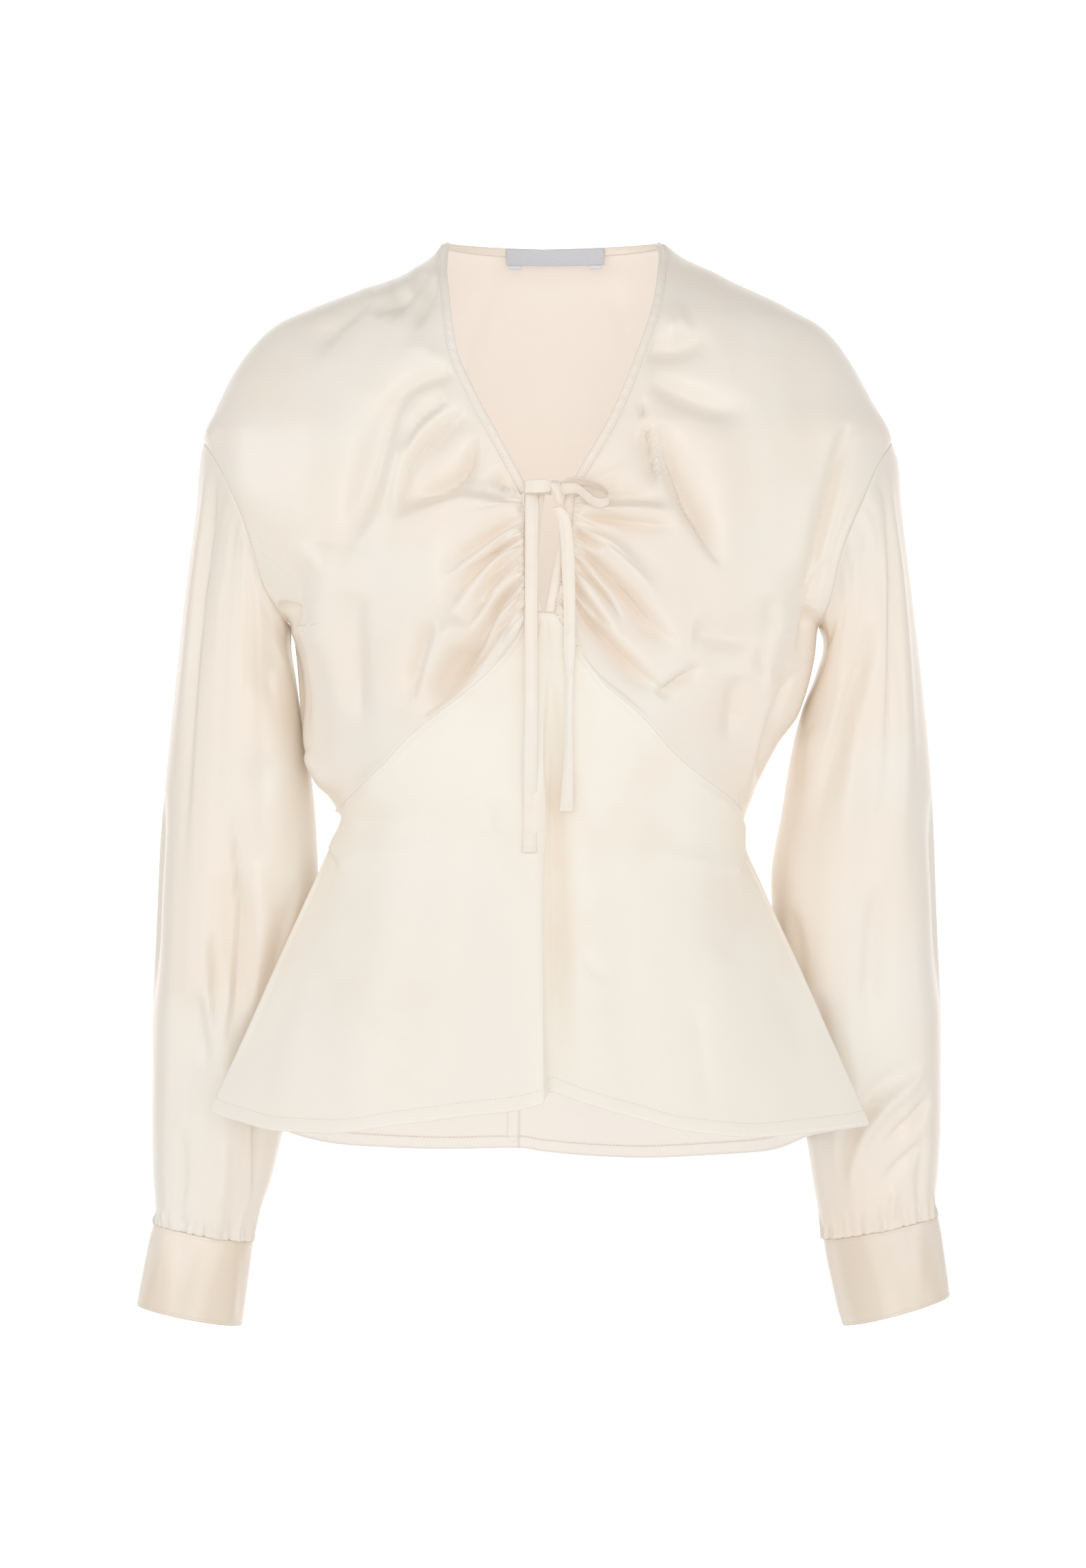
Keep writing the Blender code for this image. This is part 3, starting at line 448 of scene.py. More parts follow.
CREASES_BACK_LOWER = (
    # paths over the flat width from the centre (x 165 at a side edge) and z
    (9, 15, 3.2, 0.2, (-26, -392), (-34, -460), (-40, -540), (-46, -612)),
    (9, 15, -3.2, 0, (-62, -392), (-72, -460), (-80, -540), (-86, -606)),
    (9, 14, 3, 0, (-102, -392), (-108, -460), (-116, -530), (-122, -596)),
    (8, 11, -2.4, 0, (-140, -396), (-144, -460), (-148, -530), (-150, -584)),
    (9, 15, -3.2, 0.2, (22, -392), (30, -460), (36, -540), (42, -616)),
    (9, 15, 3.2, 0, (58, -392), (70, -460), (80, -540), (88, -608)),
    (9, 14, -3, 0, (100, -394), (108, -460), (116, -530), (124, -598)),
    (8, 11, 2.2, 0, (138, -396), (142, -460), (148, -530), (152, -588)),
    (3, 5, -1.2, 0, (-8, -388), (-9, -410), (-12, -430)),
    (3, 5, 1.2, 0, (8, -388), (12, -412), (14, -436)),
)
CREASES_SLEEVE_BACK = (
    # the same on both sleeves, with paths as below
    (8, 8, -2, 0, (310, -420), (300, -500), (306, -580)),
    (5, 4, -2, 0.2, (250, -560), (246, -610), (250, -660)),
    (4, 3.5, 1.8, 0, (222, -580), (218, -620), (222, -662)),
    (4, 3.5, 1.8, 0, (282, -600), (286, -632), (284, -662)),
    (6, 8, -2.6, 0.3, (-12, -210), (-6, -280), (-10, -350)),
    (6, 8, -2.4, -0.3, (14, -380), (6, -450), (10, -530)),
    (7, 8, 2, 0, (-24, -440), (-18, -520), (-22, -600)),
)
CREASES_SLEEVE = {
    # paths over (angle round the sleeve, height of the ring's centre)
    RIGHT: (
        (3, 4, -2.2, 0.5, (33, -196), (43, -222), (49, -290), (51, -345), (53, -392), (55, -430)),
        (5, 7, 1.6, 0, (22, -196), (30, -240), (36, -320), (40, -400)),
        (2.2, 3, -2.8, -0.45, (88, -384), (93, -420), (96, -455), (96, -500), (92, -546)),
        (6, 6, -2.2, 0.3, (92, -420), (102, -450), (106, -490), (100, -530)),
        (1.8, 2.2, -2.4, -0.3, (76, -462), (80, -500), (88, -540)),
        (7, 7, 2.2, 0, (104, -410), (112, -450), (114, -500)),
        (5, 5, -2.4, 0.3, (66, -500), (74, -530), (84, -552)),
        (6, 7, 2, 0, (78, -500), (90, -540), (98, -580)),
        (5, 8, -2, 0.3, (150, -232), (128, -256), (118, -300)),
        (8, 8, -1.6, 0, (120, -330), (110, -352), (92, -372)),
        (6, 7, -2.2, 0.3, (140, -420), (126, -480), (120, -540), (124, -600)),
        (3, 3, -1.6, 0, (60, -590), (64, -630), (60, -662)),
        (3.5, 3, 1.6, 0, (100, -600), (106, -630), (104, -662)),
        (1.6, 2.4, -2.6, -0.4, (120, -556), (126, -588), (136, -618), (150, -650)),
        (7, 9, -2.6, 0.3, (240, -230), (232, -300), (238, -370)),
        (7, 9, 2.2, 0, (262, -260), (256, -330), (262, -400)),
        (5, 5, -2.6, 0.3, (206, -400), (232, -420), (262, -424), (290, -414)),
        (5, 5, 2.2, 0, (204, -426), (232, -442), (264, -448)),
        (4, 5, -2, 0, (196, -446), (222, -466), (252, -474)),
        *CREASES_SLEEVE_BACK,
    ),
    LEFT: (
        (3.5, 4.5, -2.6, 0.4, (42, -196), (48, -222), (60, -268), (66, -312), (74, -376),
         (80, -410)),
        (4, 5, -2.2, 0.3, (80, -432), (82, -452), (88, -500), (92, -540)),
        (5, 8, 1.8, 0, (30, -200), (38, -240), (48, -320), (56, -420)),
        (7, 9, -2.6, 0.4, (84, -262), (98, -282), (112, -318), (122, -380)),
        (7, 9, 2.2, 0, (76, -280), (90, -310), (100, -370), (104, -430)),
        (6, 8, 1.8, 0, (140, -300), (134, -350), (136, -400)),
        (2.4, 3, -2.8, 0.3, (40, -570), (56, -581), (74, -593), (92, -608)),
        (2.2, 3, -2.4, 0.3, (46, -600), (62, -608), (80, -620), (98, -634)),
        (3.5, 3, 2.8, 0, (42, -552), (64, -566), (84, -580), (102, -598), (115, -624),
         (118, -652)),
        (4, 4, -2.2, 0.2, (60, -546), (84, -560), (106, -578), (124, -604), (130, -640)),
        (5, 5, -2.2, 0.2, (124, -500), (130, -540), (142, -570)),
        (5, 6, -2, 0, (142, -440), (136, -480), (140, -520)),
        (3, 3, -1.4, 0, (46, -600), (52, -630), (50, -660)),
        (2.4, 2.4, 1.6, 0, (76, -632), (80, -648), (80, -664)),
        (7, 9, -2.6, 0.3, (240, -230), (234, -300), (240, -370)),
        (7, 9, 2.2, 0, (262, -260), (256, -330), (262, -400)),
        (5, 5, -2.6, 0.3, (206, -404), (232, -424), (262, -428), (290, -418)),
        (5, 5, 2.2, 0, (204, -430), (232, -446), (264, -452)),
        *CREASES_SLEEVE_BACK,
    ),
}

# Measures of folds, sewing and stage ----------------------------------------------------------

DEGREE = 0.92  # millimetres round a sleeve in one degree
FIRST_RINGS = (0.45, 0.8)  # how far a sleeve's first rings have left the armhole's shape
GATHER_SPAN = (-173.0, -262)  # heights of the first and last gather beside the keyhole
GATHER_FAN = ((174, 186, 205, 235, 262), (-24, 2, 24, 42, 50))  # how low, angle of a gather there
LONG_GATHERS = 0.65  # share of the gathers that run on into the cloth
EASE_START = -170  # height below which the front's section is eased

# A crease reaches so many half widths, and fades over these shares of its length at each end.
CREASE_REACH, CREASE_FADE_IN, CREASE_FADE_OUT = 3.2, 0.3, 0.45
CREASE_LEAN = 2.2  # how strongly its lean narrows one side and widens the other
# A fold has a narrow core, deeper in a valley than on a ridge, and a broad swell round it.
VALLEY_CORE, RIDGE_CORE, BROAD_WIDTH, BROAD_HEIGHT = 0.95, 0.35, 2.4, 0.6

# Sewing: distances of stitches from an edge, and walls of the doubled pieces.
ARMHOLE_STITCHES, CUFF_STITCHES, TAPE_STITCHES, HEM_STITCHES = 1.3, 2.4, 0.9, 0.6
FRONT_ARMHOLE, BACK_ARMHOLE = slice(70, 196), slice(34, 98)  # grid rows beside an armhole
TURNING_WALL, TURNING_GAP = 0.4, 0.15
BAND_WALL, TAPE_WALL, LABEL_WALL = 1.3, 0.9, 0.7

BACK_LOWER_WIDTH = 165  # flat width of each lower back panel in its crease table
BUTTON_RADIUS, BUTTON_HEIGHT, HOLE_RADIUS = 0.0049, 0.0022, 0.00055  # in metres
BUTTON_DISH = ((0.0009, 0.0), (0.0006, -0.0006), (0.0012, -0.0001))  # rim, step and dish
BUTTON_LIFT = 0.75  # height of a button's seat over the cuff
HOLE_OFF = 1.05  # a button hole's distance from both middle lines
BUTTON_HOLES = [(x * HOLE_OFF, y * HOLE_OFF) for x in SIDES for y in SIDES]
FORWARD = np.array([[0.0, -1.0, 0.0]])

# The stage, in metres.
CAMERA_PLACE = (0, -3.2, -0.362)
LIGHT_TARGET = (0, 0, -0.33)
LIGHTS = (
    # name, place, size, colour
    ("key_light", (-3.0, -1.3, 0.6), 1.5, (0.9, 0.95, 1)),
    ("side_light", (3.0, -1.3, -0.1), 1.5, (0.98, 0.98, 1)),
    ("front_light", (0.2, -3.9, 0.2), 1.7, (1, 0.97, 0.93)),
)

# Form functions --------------------------------------------------------------------------------


def soft_step(value):
    """0 up to 0 and 1 from 1 on, with a soft start and end between them."""
    t = np.clip(value, 0, 1)
    return t * t * (3 - 2 * t)


def hump(value, at, width):
    """1 where a value is at its place, falling softly to 0 on both sides of it."""
    return np.exp(-(((value - at) / width) ** 2))


def unit(vectors):
    """Vectors brought to a length of 1."""
    return vectors / np.linalg.norm(vectors, axis=-1, keepdims=True)


def distances(line):
    """How far each point of a line is from its first one, along the line."""
    return np.concatenate([[0], np.cumsum(np.linalg.norm(np.diff(line, axis=0), axis=1))])


def through(rows, at, column=1):
    """A column's values at the given keys, on a curve that never overshoots its rows."""
    order = np.argsort(rows[:, 0])
    keys, values = rows[order, 0].astype(float), rows[order, column].astype(float)
    step = np.diff(keys)
    slope = np.diff(values) / step
    bend = np.zeros_like(values)
    bend[0], bend[-1] = slope[0], slope[-1]
    before, after = slope[:-1], slope[1:]
    same = before * after > 0
    near, far = 2 * step[1:] + step[:-1], step[1:] + 2 * step[:-1]
    safe_before, safe_after = np.where(same, before, 1), np.where(same, after, 1)
    bend[1:-1] = np.where(same, (near + far) / (near / safe_before + far / safe_after), 0)
    at = np.clip(np.asarray(at, float), keys[0], keys[-1])
    i = np.clip(np.searchsorted(keys, at) - 1, 0, len(step) - 1)
    t = (at - keys[i]) / step[i]
    return (
        values[i] * (1 + 2 * t) * (1 - t) ** 2
        + values[i + 1] * t * t * (3 - 2 * t)
        + step[i] * t * (1 - t) * (bend[i] * (1 - t) - bend[i + 1] * t)
    )


def along(rows, share):
    """Points of a table at shares of its length, on a smooth curve."""
    run = distances(rows)
    keyed = np.column_stack([run / run[-1], rows])
    return np.column_stack([through(keyed, share, 1 + c) for c in range(rows.shape[1])])


def half_width(z, side):
    return through(BODY, z, 1 if side == RIGHT else 2)


def both_widths(z, right_side):
    return np.where(right_side, half_width(z, RIGHT), half_width(z, LEFT))


def broad_fold(points, start, end, width):
    """1 on a broad fold's line, falling softly to 0 at its half width and towards its ends."""
    start, end = np.asarray(start, float), np.asarray(end, float)
    line = end - start
    place = ((points - start) @ line) / (line @ line)
    off = np.linalg.norm(points - start - np.clip(place, 0, 1)[..., None] * line, axis=-1)
    ends = np.clip(1 - (2 * place - 1) ** 4, 0, 1) * ((place > 0) & (place < 1))
    return hump(off, 0, width) * ends


def front(angle, z, out=0.0):
    """Points of the front at angles from the centre (right is negative) and heights."""
    angle, z = np.broadcast_arrays(np.asarray(angle, float), np.asarray(z, float))
    turn = np.radians(angle)
    x = both_widths(z, angle < 0) * np.sin(turn)
    side = through(FLARE, z, 1)
    depth = through(BODY, z, 3) + side
    y = side - depth * np.clip(np.cos(turn), 0, 1) ** (2 * through(FLARE, z, 2))
    flat = np.stack([x, z], axis=-1)
    away = np.clip((90 - np.abs(angle)) / 20, 0, 1)  # broad folds die out towards the sides
    for start, end, width, height in FRONT_FOLDS:
        y = y - height * broad_fold(flat, start, end, width) * away
    edge, foot = FOLD_ANGLE
    beside_fold = np.exp(-(np.clip((edge - angle) / FOLD_SPREAD, 0, None) ** 1.4))
    step = np.clip((foot - angle) / (foot - edge), 0, 1)
    y = y - through(FOLD_DEPTH, z) * np.where(angle <= edge, beside_fold, step)
    return np.stack([x, y - SEAM - out, z], axis=-1)


def front_at(x, z, out=0.0):
    """Points of the front above points (x, z) of the front view."""
    x, z = np.broadcast_arrays(np.asarray(x, float), np.asarray(z, float))
    share = np.clip(x / both_widths(z, x < 0), -1, 1)
    return front(np.degrees(np.arcsin(share)), z, out)


def back(angle, z):
    """Points of the back bodice at angles from the centre back (right is negative)."""
    angle, z = np.broadcast_arrays(np.asarray(angle, float), np.asarray(z, float))
    turn = np.radians(angle)
    x = both_widths(z, angle < 0) * np.sin(turn)
    y = through(BODY, z, 4) * np.clip(np.cos(turn), 0, 1) ** (2 * through(FLARE, z, 2))
    return np.stack([x, y + SEAM, z], axis=-1)


def angle_at(x, z, side):
    return np.degrees(np.arcsin(np.clip(np.abs(x) / half_width(z, side), 0, 1)))


def back_lower_point(place, z):
    """Points of the lower back at places from -1 (right side) to 1 (left side)."""
    place, z = np.broadcast_arrays(np.asarray(place, float), np.asarray(z, float))
    keys = np.linspace(0, 1, BACK_SECTIONS.shape[1])
    levels = []
    for section in BACK_SECTIONS:
        rows = np.column_stack([keys, section])
        levels.append(np.stack([through(rows, np.abs(place), c) for c in (1, 2)], axis=-1))
    levels = np.stack(levels)
    at = np.clip(np.interp(-z, -BACK_LEVELS, np.arange(len(BACK_LEVELS))), 0, len(levels) - 1)
    low = np.clip(at.astype(int), 0, len(levels) - 2)
    share = (at - low)[..., None]
    index = np.indices(place.shape)
    flat = levels[(low, *index)] * (1 - share) + levels[(low + 1, *index)] * share
    edge_x, edge_y = (np.interp(-z, -BACK_LEVELS, BACK_SECTIONS[:, -1, c]) for c in (0, 1))
    near_edge = np.abs(place) ** 5
    stretch = 1 + (both_widths(z, place < 0) / edge_x - 1) * near_edge
    y = flat[..., 1] + (through(FLARE, z, 1) - edge_y) * near_edge
    return np.stack([flat[..., 0] * np.sign(place) * stretch, y + SEAM, z], axis=-1)


def arm_line(side, share):
    """Heights and angles at shares of an armhole's length."""
    rows = along(ARM[side], share)
    return rows[:, 0], angle_at(rows[:, 1], rows[:, 0], side)


def neck_line(side, share):
    """Points (x, z) down the neck seam at shares of the way from the shoulder."""
    line = NECK[side].astype(float)
    line[0, 1] = SHOULDER_HEIGHTS[0]
    return along(line, np.asarray(share) ** 1.3)


def outer_line(side, stations):
    """Heights and angles down the bodice's outer edge: shoulder, armhole and side seam."""
    shoulder = len(SHOULDER_HEIGHTS)
    heights = np.interp(stations, np.arange(shoulder), SHOULDER_HEIGHTS)
    tip = float(arm_line(side, np.array([0.0]))[0][0])
    down = np.clip(stations - shoulder + 1, 0, 1)
    heights = heights + (tip - SHOULDER_HEIGHTS[-1]) * down
    arm_z, arm_angle = arm_line(side, np.clip((stations - shoulder) / ARM_STEPS, 0, 1))
    below = np.clip((stations - shoulder - ARM_STEPS) / SIDE_STEPS, 0, 1)
    z = np.where(stations < shoulder, heights, arm_z)
    z = np.where(below > 0, arm_z + (WAIST[side] - arm_z) * below, z)
    return z, np.where((stations > shoulder) & (below <= 0), arm_angle, 90.0)


def crowd(count, start, end):
    """Shares from 0 to 1 in so many steps, closer together at the ends by the given powers."""
    t = np.linspace(0, 1, count + 1)
    return t**start * (1 - t) + (1 - (1 - t) ** end) * t


LAST_STATION = len(SHOULDER_HEIGHTS) + ARM_STEPS + SIDE_STEPS


def front_bodice_grid(side, upper, lower, columns=140):
    """Grid of one front bodice: rows run from the neck and gathered edge to the outer edge."""
    stations = np.concatenate([
        np.linspace(0, NECK_STEPS, upper + 1),
        NECK_STEPS + (LAST_STATION - NECK_STEPS) * crowd(lower, 1, 1.4)[1:],
    ])
    outer_z, outer_angle = outer_line(side, stations)
    foot_angle = side * GATHER_FOOT[side]
    foot = front(foot_angle, float(through(CROSS_SEAM, foot_angle)) + SEAM)[[0, 2]]
    neck = neck_line(side, stations[: upper + 1] / NECK_STEPS)
    gathered = STRIP[side][1:, [1, 0]] + (side * SEAM, 0)
    share = (stations[upper:] - NECK_STEPS) / (LAST_STATION - NECK_STEPS)
    beside = along(np.vstack([neck[-1], gathered, foot]), share)
    inner = np.vstack([neck, beside[1:]])
    start = angle_at(inner[:, 0], inner[:, 1], side)
    across = crowd(columns, 1.35, 1.5)
    angle = start[:, None] + (outer_angle - start)[:, None] * across
    z = inner[:, 1][:, None] + (outer_z - inner[:, 1])[:, None] * across
    seam_z = through(CROSS_SEAM, side * angle[-1]) + SEAM
    z = z + ((stations / LAST_STATION) ** 2.5)[:, None] * (seam_z - z[-1])[None, :]
    return front(side * angle, z)


def front_lower_grid():
    """Grid of the lower front, with close columns at its centre fold."""
    edge, foot = FOLD_ANGLE
    stretches = (
        # from, to, columns
        (-90, -24, 62), (-24, -3, 30), (-3, edge, 8), (edge, foot, 7), (foot, 6, 8),
        (6, 26, 30), (26, 90, 60),
    )
    angles = [np.linspace(*stretch, endpoint=False) for stretch in stretches]
    angles = np.concatenate(angles + [[90]])
    top, hem = through(CROSS_SEAM, angles) - SEAM, through(FRONT_HEM, angles)
    down = crowd(118, 1.3, 1.3)[:, None]
    return front(angles[None, :], top + (hem - top) * down)


def back_bodice_grid():
    """Grid of the back bodice: both halves from the centre back to their outer edges."""
    halves = []
    stations = np.linspace(0, LAST_STATION, 131)
    down = (stations / LAST_STATION) ** 1.15
    inner_z = HIGH_NECK_BACK + (WAIST[RIGHT] - HIGH_NECK_BACK) * down
    across = crowd(62, 1.0, 1.4)
    for side in SIDES:
        outer_z, outer_angle = outer_line(side, stations)
        angle = outer_angle[:, None] * across
        z = inner_z[:, None] + (outer_z - inner_z)[:, None] * across
        z[-1] += SEAM
        halves.append(back(side * angle, z))
    return np.concatenate([halves[0][:, ::-1], halves[1][:, 1:]], axis=1)


def back_lower_grid(side):
    """Grid of one lower back panel, from the right to the left."""
    if side == RIGHT:
        start, end = -1, CENTRE_BACK + CENTRE_OVERLAP
    else:
        start, end = CENTRE_BACK - CENTRE_OVERLAP, 1
    places = start + (end - start) * crowd(86, 1.2, 1.2)
    slope = (WAIST[side] - WAIST[RIGHT]) * np.clip(places, 0, 1)
    top, hem = WAIST[RIGHT] - SEAM + slope, through(BACK_HEM, places)
    down = crowd(84, 1.3, 1.3)[:, None]
    return back_lower_point(places[None, :], top + (hem - top) * down)


def armhole(side, degrees):
    """One armhole as a loop: shoulder tip, front, underarm, back."""
    ahead = degrees <= 180
    share = np.where(ahead, degrees, 360 - degrees) / 180
    z, angle = arm_line(side, share)
    return np.where(ahead[:, None], front(side * angle, z), back(side * angle, z))


def sleeve_grid(side, around=150, down=190):
    """Rings of a sleeve from its armhole to its cuff, the angle and ring height at each point."""
    degrees = np.linspace(0, 360, around, endpoint=False)
    turn = np.radians(degrees)
    hole = armhole(side, degrees)
    coarse = [hole + np.array([side * 0.9, 0, -0.43]) * 0.3]
    heights = [float(hole[:, 2].mean())]
    for i, (x0, z0, x1, z1, y, depth) in enumerate(SLEEVE[side]):
        centre = np.array([(x0 + x1) / 2 * side, y, (z0 + z1) / 2])
        across = np.array([(x0 - x1) / 2 * side, 0, (z0 - z1) / 2])
        ring = centre + np.cos(turn)[:, None] * across
        ring[:, 1] -= depth * np.sin(turn)
        for angle, top, bottom, width, height in SLEEVE_FOLDS[side]:
            near = (degrees - angle + 180) % 360 - 180
            place = (centre[2] - bottom) / (top - bottom)
            push = height * np.sin(np.pi * np.clip(place, 0, 1)) ** 0.7 * hump(near, 0, width)
            ring += unit(ring - centre) * push[:, None]
        share = FIRST_RINGS[i] if i < len(FIRST_RINGS) else 1
        moved = hole + (centre - hole.mean(axis=0))
        coarse.append(moved * (1 - share) + ring * share)
        heights.append(float(centre[2]))
    coarse = np.array(coarse)
    run = np.concatenate([[0], np.cumsum(-np.diff(heights))])
    at = run[-1] * crowd(down, 1.2, 1.4)
    flat = coarse.reshape(len(coarse), -1)
    keyed = np.column_stack([run, flat])
    grid = np.stack([through(keyed, at, 1 + c) for c in range(flat.shape[1])], axis=-1)
    return grid.reshape(down + 1, around, 3), degrees, heights[0] - at


def cuff_points(side, degrees, down, inset=0.0):
    """Points of a cuff at angles round it and shares of the way down it."""
    top, bottom = CUFF_EDGES[side]
    degrees, down, inset = np.broadcast_arrays(degrees, down, inset)
    turn = np.radians(degrees)
    x0, z0, x1, z1 = (top[i] * (1 - down) + bottom[i] * down for i in range(4))
    inside = 1 - inset / (np.hypot(x0 - x1, z0 - z1) / 2)
    x = (x0 + x1) / 2 + np.cos(turn) * ((x0 - x1) / 2 * inside)
    z = (z0 + z1) / 2 + np.cos(turn) * ((z0 - z1) / 2 * inside)
    y = CUFF_CENTRE_Y - (CUFF_HALF_DEPTH - inset) * np.sin(turn)
    return np.stack([x * side, y, z], axis=-1)


# Relief ----------------------------------------------------------------------------------------


def normals_of(grid, flip, closed=False):
    """Outward unit normals at the points of a grid."""
    if closed:
        ring = np.concatenate([grid[:, -1:], grid, grid[:, :1]], axis=1)
        across = np.gradient(ring, axis=1)[:, 1:-1]
    else:
        across = np.gradient(grid, axis=1)
    down = np.gradient(grid, axis=0)
    normal = np.cross(across, down)
    length = np.linalg.norm(normal, axis=-1, keepdims=True)
    normal = np.where(length > 1e-6, normal / np.maximum(length, 1e-6), 0)
    return -normal if flip else normal


def pushed(grid, relief, flip, closed=False):
    """A grid whose points are moved out along their normals."""
    return grid + normals_of(grid, flip, closed) * relief[..., None]


def edge_run(grid, edge):
    """How far each point of a grid is from its edge named top, bottom, first or last."""
    axis = 0 if edge in ("top", "bottom") else 1
    steps = np.linalg.norm(np.diff(grid, axis=axis), axis=-1)
    pad = np.zeros_like(np.take(steps, [0], axis=axis))
    run = np.cumsum(np.concatenate([pad, steps], axis=axis), axis=axis)
    return np.take(run, [-1], axis=axis) - run if edge in ("bottom", "last") else run


def hold(grid, edges, reach=7.0):
    """0 at the seamed edges of a grid, rising softly to 1 away from them."""
    total = np.ones(grid.shape[:2])
    for edge in edges:
        total *= soft_step(edge_run(grid, edge) / reach)
    return total


def crease(flat, path, wide_start, wide_end, height, lean):
    """Height that one fold adds at flat points; its path is smoothed and its ends fade."""
    line = along(np.asarray(path, float), np.linspace(0, 1, 4 * len(path)))
    reach = CREASE_REACH * max(wide_start, wide_end)
    low, high = line.min(axis=0) - reach, line.max(axis=0) + reach
    picked = np.all((flat > low) & (flat < high), axis=-1)
    points = flat[picked]
    found = np.zeros(flat.shape[:-1])
    if not len(points):
        return found
    begun = distances(line)
    best = np.full(len(points), np.inf)
    off, place = np.zeros(len(points)), np.zeros(len(points))
    for i, run in enumerate(np.linalg.norm(np.diff(line, axis=0), axis=1)):
        step = (line[i + 1] - line[i]) / run
        rel = points - line[i]
        t = np.clip(rel @ step, 0, run)
        gap = rel - t[:, None] * step
        distance = np.hypot(gap[:, 0], gap[:, 1])
        closer = distance < best
        best = np.where(closer, distance, best)
        side = np.sign(step[0] * rel[:, 1] - step[1] * rel[:, 0])
        off = np.where(closer, distance * side, off)
        place = np.where(closer, (begun[i] + t) / begun[-1], place)
    wide = wide_start + (wide_end - wide_start) * place
    wide = wide * np.exp(-CREASE_LEAN * lean * np.sign(off))
    fade_in = np.clip(place / CREASE_FADE_IN, 0, 1)
    ends = fade_in * (2 - fade_in) * soft_step((1 - place) / CREASE_FADE_OUT)
    found[picked] = height * hump(off, 0, wide) * ends
    return found


def folds(flat, creases):
    """All the folds: each has a core and a broad soft valley or swell round it."""
    total = np.zeros(flat.shape[:-1])
    for wide_start, wide_end, height, lean, *path in creases:
        core = VALLEY_CORE if height < 0 else RIDGE_CORE
        total += crease(flat, path, wide_start, wide_end, height * core, lean)
        ends = wide_start * BROAD_WIDTH, wide_end * BROAD_WIDTH
        total += crease(flat, path, *ends, height * BROAD_HEIGHT, lean)
    return total


def seam_dip(grid, edges, depth=0.28, width=1.5):
    """The cloth's dip beside seams on edges of a grid, named top, bottom, first and last."""
    return -depth * sum(hump(edge_run(grid, edge), 0, width) for edge in edges)


def hem_relief(grid):
    """The doubled edge of a hem and the line of its stitches."""
    run = edge_run(grid, "bottom")
    depth = millimetres("hem")
    doubled = 0.25 / (1 + np.exp((run - depth) / 0.6))
    rolled, sewn = hump(run, 0, 0.8), hump(run, depth - HEM_STITCHES, 0.8)
    return doubled - 0.6 * rolled - 0.2 * sewn


def seeded_sine(at, pitch, spread, rng):
    """A sine along a length; chance picks its pitch and where it starts."""
    return np.sin(2 * np.pi * at / (pitch * rng.uniform(*spread)) + rng.uniform(0, 6.3))


def waves(at, seed, pitch, strength=1.0):
    """A smooth uneven wave along a length, made from a few seeded sines."""
    rng = np.random.default_rng(seed)
    total = sum(seeded_sine(at, pitch, (0.6, 1.7), rng) for _ in range(5))
    return total * strength / 3


def drift(flat, seed, sizes, strengths):
    """Slow unevenness of hanging cloth: seeded crossed waves of a few sizes."""
    rng = np.random.default_rng(seed)
    total = np.zeros(flat.shape[:-1])
    for size, strength in zip(sizes, strengths):
        for _ in range(5):
            turn = rng.uniform(-0.6, 0.6)
            ahead = flat[..., 0] * math.cos(turn) + flat[..., 1] * math.sin(turn) * 0.4
            total += strength * seeded_sine(ahead, size, (0.7, 1.5), rng) / 2
    return total


def gathers(grid, side):
    """Short uneven puckers that fan out from a gathered edge; some run on into the cloth."""
    flat = grid[..., [0, 2]]
    rng = np.random.default_rng(11 if side == RIGHT else 12)
    total = np.zeros(flat.shape[:-1])
    z, foot = GATHER_SPAN
    while z > foot:
        turn = math.radians(float(np.interp(-z, *GATHER_FAN)))
        turn += rng.uniform(-0.12, 0.12)
        reach = rng.uniform(5, 15)
        x = float(through(STRIP[side], z, 1)) - side * 0.6
        bend = rng.uniform(-0.22, 0.22)
        middle = (x + side * math.cos(turn) * reach * 0.5, z - math.sin(turn) * reach * 0.5)
        end = (x + side * math.cos(turn + bend) * reach, z - math.sin(turn + bend) * reach)
        height = rng.uniform(0.35, 0.8)
        total += pucker(flat, ((x, z), middle, end), 0.6, rng.uniform(0.9, 1.6), height)
        if rng.random() < LONG_GATHERS:
            reach = rng.uniform(18, 66)
            steps = np.linspace(0, 1, 6)
            swing = turn + 0.1 + rng.uniform(0.1, 0.45) * steps + 0.12 * np.sin(7 * steps + z)
            run = np.concatenate([[0], np.cumsum(np.cos(swing[:-1]))]) * reach / 5
            drop = np.concatenate([[0], np.cumsum(np.sin(swing[:-1]))]) * reach / 5
            path = np.column_stack([x + side * run, z - drop])
            lean = rng.choice((-0.3, 0.3))
            wide, high = rng.uniform(1.5, 3.0), rng.uniform(0.5, 1.0)
            total += pucker(flat, path, 0.8, wide, high, lean)
        z -= rng.uniform(1.9, 3.1)
    return total


def pucker(flat, path, wide_start, wide_end, height, lean=0.0):
    """A crease that is full at its seam end, so its path begins before the seam."""
    path = np.asarray(path, float)
    before = path[0] - (path[1] - path[0]) * 0.5
    return crease(flat, np.vstack([before, path]), wide_start, wide_end, height, lean)


def eased(grid, reach=28):
    """Relief that smooths the front's quick changes of section, from the bust down."""
    x, z = grid[..., 0], grid[..., 2]
    edge, fade, most = 0.96, 0.1, 3  # shares of the half width at a side edge; most it moves
    total, count = grid[..., 1].copy(), np.ones_like(x)
    for step in np.linspace(reach / 5, reach, 5):
        inside = np.ones_like(x)
        for level in (z - step, z + step):
            inside *= np.clip((edge - np.abs(x) / both_widths(level, x < 0)) / fade, 0, 1)
        total += inside * (front_at(x, z - step)[..., 1] + front_at(x, z + step)[..., 1])
        count += 2 * inside
    moved = np.clip(grid[..., 1] - total / count, -most, most)
    return moved * soft_step((EASE_START - z) / 40)


# Meshes ----------------------------------------------------------------------------------------


